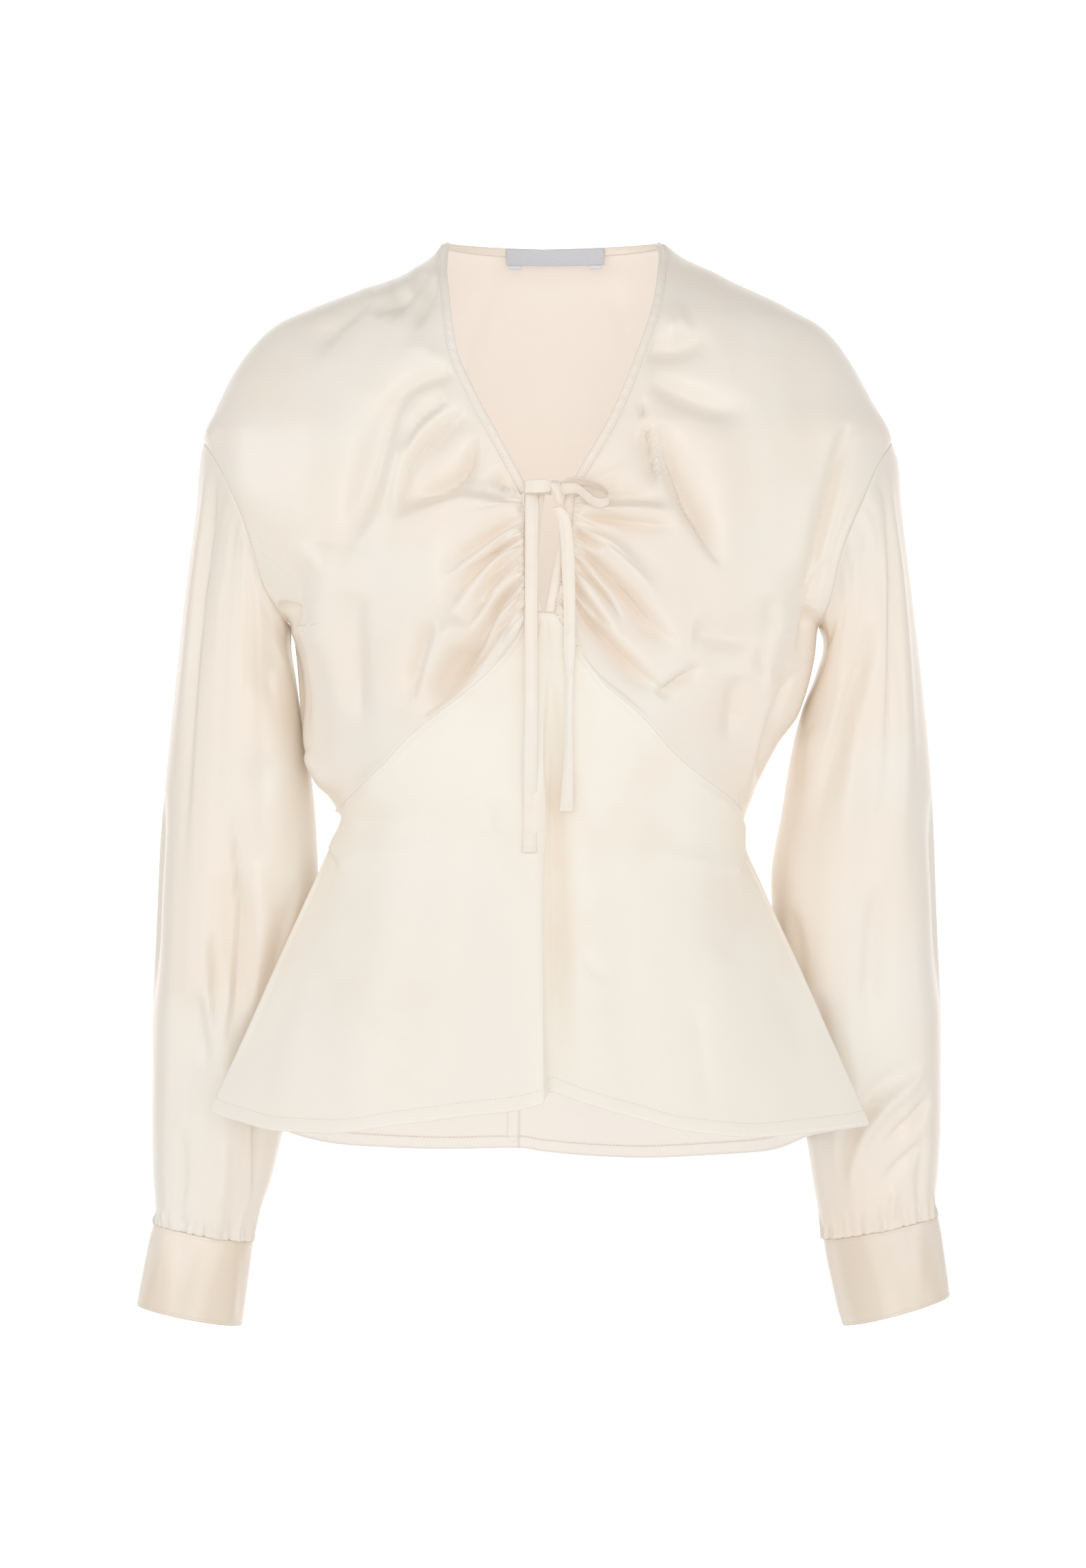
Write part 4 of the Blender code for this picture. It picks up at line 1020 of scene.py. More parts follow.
def new_piece(name, points, faces, material):
    """A smooth mesh object in the scene, from points in millimetres."""
    mesh = bpy.data.meshes.new(name)
    mesh.from_pydata((points * MM).tolist(), [], faces)
    mesh.shade_smooth()
    mesh.materials.append(material)
    piece = bpy.data.objects.new(name, mesh)
    bpy.context.scene.collection.objects.link(piece)
    return piece


def corners(row, column, beside, columns, flip):
    """Indices of the four corners of each face of a grid."""
    first, second = row * columns, (row + 1) * columns
    faces = [first + column, first + beside, second + beside, second + column]
    faces = np.stack(faces, axis=-1)
    return (faces[..., ::-1] if flip else faces).reshape(-1, 4)


def cloth(name, grid, wall, material, closed=False, flip=False, reverse=None):
    """A thin shell over a grid of points in millimetres, with its wall inwards.

    Its UV map is in metres: how far each point is along its row and down its column.
    """
    rows, columns = grid.shape[:2]
    across = edge_run(grid, "first")
    uv = np.stack([across - across[:, -1:] / 2, -edge_run(grid, "top")], axis=-1) * MM
    if closed:
        girth = np.linalg.norm(grid[:, 0] - grid[:, -1], axis=-1) * MM
        last = uv[:, -1] + np.stack([girth, np.zeros_like(girth)], axis=-1)
        uv = np.concatenate([uv, last[:, None]], axis=1)
    spans = np.arange(rows - 1), np.arange(columns if closed else columns - 1)
    r, c = np.meshgrid(*spans, indexing="ij")
    faces = corners(r, c, (c + 1) % columns, columns, flip)
    tile = corners(r, c, c + 1, uv.shape[1], flip)
    piece = new_piece(name, grid.reshape(-1, 3), faces.tolist(), material)
    layer = piece.data.uv_layers.new(name="UVMap")
    layer.data.foreach_set("uv", uv.reshape(-1, 2)[tile.ravel()].ravel())
    if wall:
        solid = piece.modifiers.new("wall", "SOLIDIFY")
        solid.thickness, solid.offset = wall * MM, -1
        if reverse:
            piece.data.materials.append(reverse)
            solid.material_offset = 1
    return piece


def inset_line(grid, normals, edge, distance):
    """A line of points and normals at a distance inside an edge of a grid."""
    run = edge_run(grid, edge)
    rows = np.concatenate([grid, normals], axis=-1)
    if edge in ("top", "bottom"):
        run, rows = run.T, rows.transpose(1, 0, 2)
    if edge in ("bottom", "last"):
        run, rows = run[:, ::-1], rows[:, ::-1]
    return np.array([
        [np.interp(distance, run[i], rows[i, :, c]) for c in range(rows.shape[2])]
        for i in range(len(rows))
    ])


def inner_strip(grid, normals, edge, near, far):
    """Grid of a strip that lies on the inside of a panel beside one of its edges."""
    inset = millimetres("wall") + TURNING_GAP
    lines = [inset_line(grid, normals, edge, d) for d in np.linspace(near, far, 5)]
    return np.stack([line[:, :3] - line[:, 3:] * inset for line in lines], axis=0)


def stitches(name, lines, pitch=None, length=1.9, width=0.42, lift=0.16):
    """Rows of short raised stitches along lines of points and normals."""
    pitch = pitch or millimetres("stitch")
    sunk, dip = 0.15, -0.1  # how deep a stitch's underside lies, and where its ends go in
    points, faces = [], []
    for line in lines:
        run = distances(line[:, :3])
        count = max(int(run[-1] / pitch), 1)
        for start in (np.arange(count) + 0.5) * run[-1] / count - length / 2:
            at = start + length * np.array([0, 0.3, 0.7, 1.0])
            ends = np.stack([np.interp(at, run, line[:, c]) for c in range(6)], axis=-1)
            up = ends[1, 3:]
            aside = np.cross(up, ends[-1, :3] - ends[0, :3])
            aside = aside / (np.linalg.norm(aside) + 1e-9) * width / 2
            base = len(points)
            for end, high in zip(ends[:, :3], (dip, lift, lift, dip)):
                points += [end - aside - up * sunk, end + aside - up * sunk]
                points += [end + aside * 0.6 + up * high, end - aside * 0.6 + up * high]
            for a in (base, base + 4, base + 8):
                for i, j in ((0, 1), (1, 2), (2, 3), (3, 0)):
                    faces.append((a + i, a + j, a + 4 + j, a + 4 + i))
            faces += [(base + 3, base + 2, base + 1, base), tuple(range(base + 12, base + 16))]
    piece = new_piece(name, np.array(points), faces, thread_finish())
    return placed(piece)


def tape_grid(edge_a, edge_b, out, crown, columns):
    """Rows across a band between two lines of points, bowed outwards by crown."""
    share = np.linspace(0, 1, columns)
    middle = edge_a[:, None] * (1 - share)[:, None] + edge_b[:, None] * share[:, None]
    return middle + out[:, None] * (crown * np.sin(np.pi * share) ** 0.7)[:, None]


def select_only(piece=None):
    """Leaves one piece selected, or none, because an operator acts on all that is selected."""
    bpy.ops.object.select_all(action="DESELECT")
    if piece:
        piece.select_set(True)
        bpy.context.view_layer.objects.active = piece


# Finishes --------------------------------------------------------------------------------------


class Value:
    """A shader value that takes arithmetic with numbers and other values."""

    def __init__(self, finish, socket):
        self.finish, self.socket = finish, socket

    def math(self, operation, *terms):
        return self.finish.node("ShaderNodeMath", {"operation": operation}, terms)

    def __add__(self, other):
        return self.math("ADD", self, other)

    def __mul__(self, other):
        return self.math("MULTIPLY", self, other)

    __radd__ = __add__
    __rmul__ = __mul__


class Finish:
    """A material built from expressions."""

    def __init__(self, name, constants):
        self.material = bpy.data.materials.new(name)
        self.material.use_nodes = True
        self.tree = self.material.node_tree
        self.shader = self.tree.nodes["Principled BSDF"]
        for key, value in constants.items():
            self.shader.inputs[key].default_value = value

    def node(self, kind, settings=None, sockets=(), out=0):
        """Any node: its type, its settings, then the values or links of its sockets."""
        node = self.tree.nodes.new(kind)
        for key, value in (settings or {}).items():
            setattr(node, key, value)
        named = sockets.items() if isinstance(sockets, dict) else enumerate(sockets)
        for key, value in named:
            self.put(node.inputs[key], value)
        return Value(self, node.outputs[out])

    def put(self, socket, value):
        if isinstance(value, Value):
            self.tree.links.new(value.socket, socket)
        else:
            socket.default_value = value

    def place(self, kind="Object"):
        """Where a point of the surface is, in Object or UV coordinates."""
        return self.node("ShaderNodeTexCoord", out=kind)

    def mix(self, share, first, second):
        """A colour between two, by a share."""
        sockets = {0: share, 6: first, 7: second}
        return self.node("ShaderNodeMix", {"data_type": "RGBA"}, sockets, out=2)

    def noise(self, place, scale, detail=3.0, roughness=0.5):
        sockets = {"Vector": place, "Scale": scale, "Detail": detail, "Roughness": roughness}
        return self.node("ShaderNodeTexNoise", {}, sockets)

    def streaks(self, place, scale, detail=2.0, roughness=0.5):
        """Noise drawn out by its own scale along each axis."""
        stretched = self.node("ShaderNodeMapping", {}, {"Vector": place, "Scale": scale})
        return self.noise(stretched, 1.0, detail, roughness)

    def clear_range(self, value, low, high):
        """A value's range spread softly over 0 to 1."""
        sockets = {"Value": value, "From Min": low, "From Max": high}
        return self.node("ShaderNodeMapRange", {"interpolation_type": "SMOOTHERSTEP"}, sockets)

    def bump(self, height, distance, strength, over=None):
        """A relief of a height in metres, laid over another one if there is one."""
        sockets = {"Height": height, "Distance": distance, "Strength": strength}
        if over is not None:
            sockets["Normal"] = over
        return self.node("ShaderNodeBump", {}, sockets)

    def paint(self, colour, roughness, normal):
        """The finished material, with its colour, roughness and relief."""
        for key, value in (("Base Color", colour), ("Roughness", roughness), ("Normal", normal)):
            self.put(self.shader.inputs[key], value)
        return self.material


def shade(colour, factor):
    return tuple(min(c * factor, 1) for c in colour[:3]) + (1,)


def satin(name, base, cool, warm, gloss=0.32, glow=(0.035, 0.026, 0.017, 1), bands=0.0):
    """Satin: cloudy tints, slubs along the weft, a fine weave, a broad sheen, and a warm glow that
    paints light into its shading.
    """
    # The emission is painted light: a faint warm tan glow that lifts the satin's shaded parts.
    sheen = {"Specular IOR Level": 0.9, "Emission Color": glow, "Emission Strength": 1.0}
    look = Finish(name, sheen)
    place, thread = look.place(), look.place("UV")
    cloud = look.clear_range(look.noise(place, 5.0), 0.35, 0.68)
    blush = look.clear_range(look.noise(place, 11.0), 0.42, 0.78)
    slub = look.streaks(thread, (55, 1700, 1), 3.0, 0.6)
    warp = look.streaks(thread, (1500, 40, 1), 2.0, 0.6)
    tint = look.mix(cloud, base, cool)
    tint = look.mix(blush * 0.6, tint, warm)
    # Painted shade: stretched noise draws tan stripes down the cloth in place of the sheen and
    # shade of buckled satin.
    if bands:
        band = look.streaks(thread, (30, 5, 1), 1.0, 0.4)
        tan = (base[0] * 0.9, base[1] * 0.85, base[2] * 0.77, 1)
        tint = look.mix(look.clear_range(band, 0.44, 0.66) * bands, tint, tan)
    tint = look.mix(look.clear_range(slub, 0.5, 0.8) * 0.12, tint, shade(base, 0.86))
    worn = look.noise(place, 90.0, 4.0, 0.6)
    roughness = (gloss - 0.06) + cloud * 0.05 + slub * 0.1 + worn * 0.05
    soft = look.noise(place, 38.0)
    normal = look.bump(soft, 0.0012, 0.5)
    normal = look.bump(worn, 0.0004, 0.3, normal)
    normal = look.bump(slub * 0.7 + warp * 0.3, 0.00008, 0.5, normal)
    return look.paint(tint, roughness, normal)


def woven_tape(name, base):
    """A dense ribbed tape, with rows across and a slight unevenness."""
    tape = Finish(name, {"Specular IOR Level": 0.3, "Sheen Weight": 0.1})
    thread = tape.place("UV")
    rib = tape.streaks(thread, (300, 2600, 1))
    fine = tape.streaks(thread, (2200, 500, 1))
    colour = tape.mix(tape.clear_range(rib, 0.35, 0.7) * 0.4, base, shade(base, 0.84))
    return tape.paint(colour, 0.55 + fine * 0.15, tape.bump(rib * 0.6 + fine * 0.4, 0.00014, 0.6))


def sewing_thread(name, base):
    """Twisted thread with a little gloss."""
    thread = Finish(name, {"Specular IOR Level": 0.35})
    ply = thread.noise(thread.place(), 1500.0, 2.0)
    colour = thread.mix(thread.clear_range(ply, 0.4, 0.7) * 0.5, base, shade(base, 0.82))
    return thread.paint(colour, 0.45 + ply * 0.15, thread.bump(ply, 0.0001, 0.5))


def button_shell(name, base):
    """Moulded pearl-like button: cloudy, with a soft gloss."""
    shell = Finish(name, {"Specular IOR Level": 0.5, "Coat Weight": 0.35})
    cloud = shell.streaks(shell.place(), (160, 160, 420), 4.0, 0.6)
    colour = shell.mix(shell.clear_range(cloud, 0.35, 0.7), base, shade(base, 1.12))
    return shell.paint(colour, 0.18 + cloud * 0.18, shell.bump(cloud, 0.00008, 0.4))


def plain_wall(name, base, glow):
    """Matt painted board of the stage."""
    shine = {"Specular IOR Level": 0.1, "Emission Strength": glow, "Emission Color": base}
    wall = Finish(name, shine)
    grain = wall.noise(wall.place(), 30.0)
    colour = wall.mix(grain * 0.1, base, shade(base, 0.97))
    return wall.paint(colour, 0.8 + grain * 0.1, wall.bump(grain, 0.0004, 0.2))


def finish_named(name, make, *choices, **looks):
    """A material that is made once and shared by its pieces."""
    return bpy.data.materials.get(name) or make(name, *choices, **looks)


def tint(name):
    """A colour that the user set."""
    return tuple(getattr(bpy.context.scene.blouse_colours, name))


def body_satin():
    tints = (tint("satin"), tint("satin_cool"), tint("satin_warm"))
    return finish_named("satin_face", satin, *tints)


def lower_satin():
    """Satin of the lower front: brighter and calmer than the bodice's, with a duller gloss."""
    base = tint("lower")
    tints = (base, shade(base, 1.015), tint("satin_warm"))
    return finish_named("satin_lower", satin, *tints, gloss=0.5)


def satin_reverse():
    """The duller, lighter inner side of the satin, with a glow of painted light that brightens the
    shaded inside of the blouse.
    """
    base = tint("reverse")
    tints = (base, shade(base, 1.03), shade(base, 0.97))
    # Painted light: this glow lifts the shade inside the blouse.
    glow = (0.13, 0.12, 0.112, 1)
    return finish_named("satin_reverse", satin, *tints, gloss=0.6, glow=glow)


def cuff_satin():
    """Satin of the doubled cuffs, with painted shade: tan stripes down the cuff that stand in for
    its sheen, laid by noise rather than by its buckles.
    """
    base = tint("cuff")
    tints = (base, shade(base, 1.08), shade(base, 0.96))
    return finish_named("cuff_face", satin, *tints, gloss=0.3, bands=0.7)


def thread_finish():
    return finish_named("cream_thread", sewing_thread, tint("thread"))


# Properties ------------------------------------------------------------------------------------

LENGTH = {"unit": "LENGTH"}
COLOUR = {"subtype": "COLOR", "size": 4}


class BlouseCloth(bpy.types.PropertyGroup):
    """Sizes of the cloth and its sewing."""

    wall: FloatProperty(
        name="Cloth", description="Thickness of the satin", default=0.0007, **LENGTH)
    folds: FloatProperty(
        name="Folds", description="Height of the folds against their drawn height",
        default=2.9, min=0, max=4)
    gathers: FloatProperty(
        name="Gathers", description="Height of the gathers beside the keyhole",
        default=2.2, min=0, max=3)
    hem: FloatProperty(name="Hem", description="Depth of the turned hem", default=0.010, **LENGTH)
    stitch: FloatProperty(
        name="Stitch", description="Pitch of the stitches", default=0.0026, **LENGTH)


class BlouseColours(bpy.types.PropertyGroup):
    """Colours of the cloth and its trims."""

    satin: FloatVectorProperty(
        name="Satin", description="Cream of the body and sleeves",
        default=(0.925, 0.845, 0.755, 1), **COLOUR)
    satin_cool: FloatVectorProperty(
        name="Satin, cool", description="Cooler cast in the cream",
        default=(0.91, 0.875, 0.81, 1), **COLOUR)
    satin_warm: FloatVectorProperty(
        name="Satin, warm", description="Blush cast in the cream",
        default=(0.93, 0.82, 0.715, 1), **COLOUR)
    lower: FloatVectorProperty(
        name="Satin, lower front", description="Cream of the lower front",
        default=(0.945, 0.905, 0.825, 1), **COLOUR)
    reverse: FloatVectorProperty(
        name="Satin, inside", description="Inner side of the satin",
        default=(0.93, 0.885, 0.835, 1), **COLOUR)
    # The cuffs' cream is darker than the body's satin: painted shade.
    cuff: FloatVectorProperty(
        name="Cuffs", description="Cream of the doubled cuffs",
        default=(0.88, 0.80, 0.71, 1), **COLOUR)
    label: FloatVectorProperty(
        name="Label", description="Woven label tape",
        default=(0.70, 0.715, 0.77, 1), **COLOUR)
    thread: FloatVectorProperty(
        name="Thread", description="Sewing thread",
        default=(0.84, 0.76, 0.68, 1), **COLOUR)
    button: FloatVectorProperty(
        name="Buttons", description="Cuff buttons",
        default=(0.80, 0.73, 0.63, 1), **COLOUR)


class BlouseStage(bpy.types.PropertyGroup):
    """The stage, light and camera."""

    floor: FloatProperty(
        name="Floor", description="Height of the floor", default=-1.3, **LENGTH)
    reach: FloatProperty(
        name="Floor reach", description="Radius of the floor", default=2.3, **LENGTH)
    glow: FloatProperty(
        name="Glow", description="How much the floor shines", default=0.15, min=0)
    key: FloatProperty(
        name="Key light", description="Power of the soft light at the upper left",
        default=12.0, min=0)
    side: FloatProperty(
        name="Side light", description="Power of the soft light at the right",
        default=8.0, min=0)
    fill: FloatProperty(
        name="Front light", description="Power of the soft light in front", default=9.0, min=0)
    world: FloatProperty(
        name="Surround", description="Brightness of the surroundings", default=0.53, min=0)
    lens: FloatProperty(
        name="Lens", description="Focal length", default=110.0, unit="CAMERA")


def millimetres(name):
    """A size of the cloth that the user set, in millimetres."""
    return getattr(bpy.context.scene.blouse_cloth, name) / MM


# Pieces ----------------------------------------------------------------------------------------


def placed(piece, node=None):
    """A piece tied to the body; the solid that it stands for, if any, is hidden."""
    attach(piece, "root")
    if node:
        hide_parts(node)
    return piece


def trim(name, grid, wall, flip, material, node=None):
    return placed(cloth(name, grid, wall, material, flip=flip), node)


def panel(node, grid, relief, flip=False, closed=False, face=None):
    """A panel in place of its solid, with its folds pushed out; also its grid and normals."""
    dressed = pushed(grid, relief, flip, closed)
    wall, faces = millimetres("wall"), (face or body_satin(), closed, flip, satin_reverse())
    piece = cloth(f"{node}_cloth", dressed, wall, *faces)
    return placed(piece, node), dressed, normals_of(dressed, flip, closed)


def turned_hem(name, grid, normals, flip):
    """The turning inside a panel's hem, and the line of its stitches."""
    depth = millimetres("hem")
    strip = inner_strip(grid, normals, "bottom", 0.6, depth)
    turning = trim(name, strip, TURNING_WALL, flip, satin_reverse())
    return turning, inset_line(grid, normals, "bottom", depth - HEM_STITCHES)


# Operators -------------------------------------------------------------------------------------


class BLOUSE_OT_front_bodices(bpy.types.Operator):
    """Make both front bodice panels, with their gathers, folds and armhole stitching"""

    bl_idname = "blouse.front_bodices"
    bl_label = "Front bodices"

    def execute(self, context):
        sizes = context.scene.blouse_cloth
        neck_rows = 76
        for side, creases in ((RIGHT, CREASES_RIGHT), (LEFT, CREASES_LEFT)):
            word = SIDE_WORDS[side]
            grid = front_bodice_grid(side, neck_rows, 200)
            flat = grid[..., [0, 2]]
            neck = np.arange(len(grid))[:, None] <= neck_rows
            relief = folds(flat, creases) * sizes.folds
            relief += drift(flat, 20 + side, (46, 24), (0.4, 0.12)) + eased(grid)
            beside_band = np.where(neck, hold(grid, ("first",), 4.0), 1)
            relief *= hold(grid, ("bottom", "last")) * beside_band
            relief += gathers(grid, side) * sizes.gathers * hold(grid, ("bottom",), 4.0)
            relief += seam_dip(grid, ("bottom", "last"))
            relief += seam_dip(grid, ("first",), 0.3, 1.0) * neck
            piece, dressed, normals = panel(f"front_bodice_{word}", grid, relief, side == LEFT)
            line = inset_line(dressed, normals, "last", ARMHOLE_STITCHES)[FRONT_ARMHOLE]
            row = stitches(f"armhole_stitches_{word}_front", [line])
        return {"FINISHED"}


class BLOUSE_OT_front_lower(bpy.types.Operator):
    """Make the lower front panel, with its centre fold and stitched hem"""

    bl_idname = "blouse.front_lower"
    bl_label = "Lower front"

    def execute(self, context):
        grid = front_lower_grid()
        flat = grid[..., [0, 2]]
        seams = ("top", "first", "last")
        relief = folds(flat, CREASES_LOWER) * context.scene.blouse_cloth.folds * 0.7
        relief += drift(flat, 31, (60, 26), (0.3, 0.1)) + eased(grid, 44)
        relief = relief * hold(grid, seams) + seam_dip(grid, seams) + hem_relief(grid)
        piece, dressed, normals = panel("front_lower", grid, relief, True, face=lower_satin())
        turning, line = turned_hem("front_hem_turning", dressed, normals, False)
        stitches("front_hem_stitches", [line])
        return {"FINISHED"}


class BLOUSE_OT_back_panels(bpy.types.Operator):
    """Make the back bodice and the two lower back panels, with their seams and hem"""

    bl_idname = "blouse.back_panels"
    bl_label = "Back panels"

    def execute(self, context):
        height = context.scene.blouse_cloth.folds
        self.bodice(height)
        for side in SIDES:
            self.lower(side, height)
        return {"FINISHED"}

    def bodice(self, height):
        grid = back_bodice_grid()
        flat = grid[..., [0, 2]]
        seams = ("bottom", "first", "last")
        relief = folds(flat, CREASES_BACK) * height + drift(flat, 41, (70, 30), (0.6, 0.15))
        relief = relief * hold(grid, seams) + seam_dip(grid, seams + ("top",))
        piece, dressed, normals = panel("back_bodice", grid, relief)
        lines = [inset_line(dressed, normals, edge, ARMHOLE_STITCHES) for edge in ("first", "last")]
        row = stitches("armhole_stitches_back", [line[BACK_ARMHOLE] for line in lines])

    def lower(self, side, height):
        """One lower back panel; the right one also carries the centre back seam's allowance."""
        word = SIDE_WORDS[side]
        grid = back_lower_grid(side)
        seams = ("top", "first", "last")
        share = edge_run(grid, "first") / edge_run(grid, "first")[:, -1:]
        places = share - 1 if side == RIGHT else share
        flat = np.stack([places * BACK_LOWER_WIDTH, grid[..., 2]], axis=-1)
        relief = folds(flat, CREASES_BACK_LOWER) * height + drift(flat, 51, (60, 26), (0.6, 0.14))
        relief = relief * hold(grid, seams) + seam_dip(grid, seams) + hem_relief(grid)
        piece, dressed, normals = panel(f"back_lower_{word}", grid, relief)
        turning, line = turned_hem(f"back_hem_turning_{word}", dressed, normals, True)
        inside = line.copy()  # the same stitches where they show inside the hem
        inside[:, :3] -= line[:, 3:] * (millimetres("wall") + TURNING_GAP + TURNING_WALL + 0.05)
        inside[:, 3:] *= -1
        sewn_on = [turning, stitches(f"back_hem_stitches_{word}", [line, inside])]
        if side == RIGHT:
            allowance = inner_strip(dressed, normals, "last", 0.2, 8.6)[:, :-4]
            look = satin_reverse()
            sewn_on.append(trim("centre_back_allowance", allowance, TURNING_WALL, False, look))


class BLOUSE_OT_sleeves(bpy.types.Operator):
    """Make both sleeves, with their long folds and the gathers at the cuffs"""

    bl_idname = "blouse.sleeves"
    bl_label = "Sleeves"

    def execute(self, context):
        for side in SIDES:
            grid, degrees, heights = sleeve_grid(side)
            angle, height = np.meshgrid(degrees, heights)
            flat = np.stack([angle * DEGREE, height], axis=-1)
            relief = np.zeros(flat.shape[:2])
            for wide_start, wide_end, high, lean, *path in CREASES_SLEEVE[side]:
                path = np.array(path, float) * (DEGREE, 1)
                for turn in (0, 360 * DEGREE):
                    ends = wide_start * 1.3, wide_end * 1.5
                    relief += crease(flat - (turn, 0), path, *ends, high * 0.6, lean)
            across = np.stack([90 * np.cos(np.radians(angle)), height * 0.6], axis=-1)
            relief *= context.scene.blouse_cloth.folds
            relief += drift(across, 61 + side, (60, 24), (0.7, 0.15))
            relief = relief * hold(grid, ("top", "bottom"), 9.0)
            relief += seam_dip(grid, ("top",), 0.2, 1.0) + self.gathers(flat, side)
            relief += 0.75 * hump(edge_run(grid, "bottom"), 1.0, 3.5)
            grid[-1] += unit(grid[-1] - grid[-2]) * 0.6
            node = f"sleeve_{SIDE_WORDS[side]}"
            panel(node, grid, relief, side == RIGHT, closed=True)[0]
        return {"FINISHED"}

    def gathers(self, flat, side):
        """Short folds that spring from the cuff seam all round."""
        rng = np.random.default_rng(71 + side)
        total = np.zeros(flat.shape[:2])
        foot = float(flat[..., 1].min())
        angle = 4.0
        while angle < 356:
            reach = rng.uniform(8, 26)
            sway = rng.uniform(-5, 5)
            middle, end = (angle + sway * 0.3, foot + reach * 0.4), (angle + sway, foot + reach)
            path = np.array([(angle, foot - 6), middle, end]) * (DEGREE, 1)
            height = rng.uniform(1.1, 2.2) * rng.choice((-1, 1))
            for turn in (0, 360 * DEGREE):
                total += crease(flat - (turn, 0), path, 1.1, rng.uniform(1.9, 3.4), height, 0.0)
            angle += rng.uniform(5, 13)
        return total


class BLOUSE_OT_cuffs(bpy.types.Operator):
    """Make both cuffs as lapped bands with edge stitching"""

    bl_idname = "blouse.cuffs"
    bl_label = "Cuffs"

    def execute(self, context):
        start, lap = CUFF_LAP
        degrees = np.linspace(start, start + 360 + lap, 170)
        ahead, slope = 28, 24  # degrees before the lap where the band sinks, and over which
        under = np.clip((degrees - start - 360 + ahead) / slope, 0, 1)
        inset = (CUFF_WALL + 0.5) * soft_step(under)
        down = crowd(22, 1.3, 1.3)[:, None]
        for side in SIDES:
            node = f"cuff_{SIDE_WORDS[side]}"
            grid = cuff_points(side, degrees[None, :], down, inset[None, :])
            flip = side == RIGHT
            run = np.minimum(edge_run(grid, "top"), edge_run(grid, "bottom"))
            relief = 0.3 - 0.4 * hump(run, 0, 0.8) - 0.2 * hump(run, CUFF_STITCHES, 0.7)
            around = np.broadcast_to(degrees, grid.shape[:2]) * DEGREE * 0.75
            buckle = 1.5 * waves(around + 0.1 * grid[..., 2], 81 + side, 44)
            relief = relief + buckle * (0.25 + 0.75 * hold(grid, ("top", "bottom"), 14.0))
            grid = pushed(grid, relief * (1 - 0.6 * under), flip)
            piece = trim(f"{node}_cloth", grid, BAND_WALL, flip, cuff_satin(), node)
            normals = normals_of(grid, flip)
            edges = ("top", "bottom", "first")
            lines = [inset_line(grid, normals, edge, CUFF_STITCHES) for edge in edges]
            stitches(f"cuff_stitches_{SIDE_WORDS[side]}", lines)
        return {"FINISHED"}


class BLOUSE_OT_cuff_buttons(bpy.types.Operator):
    """Make the two cuff buttons, with rims, holes and thread"""

    bl_idname = "blouse.cuff_buttons"
    bl_label = "Cuff buttons"

    def execute(self, context):
        look = finish_named("button_face", button_shell, tint("button"))
        start, lap = CUFF_LAP
        for side in SIDES:
            word = SIDE_WORDS[side]
            degrees, down = start + lap * 0.55, 0.5
            seat = cuff_points(side, degrees, down)
            ahead = cuff_points(side, degrees + 2, down) - seat
            lower = cuff_points(side, degrees, down + 0.1) - seat
            normal = unit(np.cross(ahead, lower) * side)
            ahead = unit(ahead)
            turn = np.column_stack([ahead, np.cross(normal, ahead), normal])
            seat = seat + normal * BUTTON_LIFT
            piece = self.button(f"cuff_button_{word}_shell", look)
            points = np.zeros(len(piece.data.vertices) * 3)
            piece.data.vertices.foreach_get("co", points)
            points = points.reshape(-1, 3) @ turn.T + seat * MM
            piece.data.vertices.foreach_set("co", points.ravel())
            piece.data.update()
            placed(piece, f"cuff_button_{word}")
            self.thread(f"button_thread_{word}", turn, seat)
        return {"FINISHED"}

    def button(self, name, look):
        """A dished button with four holes, lying at the origin."""
        select_only()
        bpy.ops.mesh.primitive_cylinder_add(
            vertices=40, radius=BUTTON_RADIUS, depth=BUTTON_HEIGHT,
            location=(0, 0, BUTTON_HEIGHT / 2))
        piece = bpy.context.active_object
        piece.name = name
        bpy.ops.object.transform_apply(location=True, rotation=True, scale=True)
        bpy.ops.object.mode_set(mode="EDIT")
        bpy.ops.mesh.select_all(action="DESELECT")
        bpy.ops.object.mode_set(mode="OBJECT")
        for face in piece.data.polygons:
            face.select = face.normal.z > 0.9
        bpy.ops.object.mode_set(mode="EDIT")
        for thickness, depth in BUTTON_DISH:
            bpy.ops.mesh.inset(thickness=thickness, depth=depth)
        bpy.ops.object.mode_set(mode="OBJECT")
        for x, y in BUTTON_HOLES:
            self.drill(piece, x * MM, y * MM)
        bevel = piece.modifiers.new("bevel", "BEVEL")
        bevel.width, bevel.segments, bevel.limit_method = 0.00035, 3, "ANGLE"
        select_only(piece)
        bpy.ops.object.modifier_apply(modifier=bevel.name)
        bpy.ops.object.shade_smooth_by_angle(angle=math.radians(35))
        piece.data.materials.clear()
        piece.data.materials.append(look)
        return piece

    def drill(self, piece, x, y):
        """One hole through a button."""
        select_only()
        bpy.ops.mesh.primitive_cylinder_add(
            vertices=14, radius=HOLE_RADIUS, depth=0.008, location=(x, y, 0))
        hole = bpy.context.active_object
        cut = piece.modifiers.new("hole", "BOOLEAN")
        cut.object, cut.solver, cut.operation = hole, "EXACT", "DIFFERENCE"
        bpy.context.view_layer.objects.active = piece
        bpy.ops.object.modifier_apply(modifier=cut.name)
        bpy.data.objects.remove(hole)

    def thread(self, name, turn, seat):
        """Two crossed stitches that hold a button."""
        lines = []
        for y in (-HOLE_OFF, HOLE_OFF):
            line = np.array([(-HOLE_OFF, y, 1.55), (0, y, 1.75), (HOLE_OFF, y, 1.55)])
            up = np.tile(turn[:, 2], (3, 1))
            lines.append(np.column_stack([line @ turn.T + seat, up]))
        stitches(name, lines, pitch=2.1, length=2.0, width=0.5, lift=0.25)


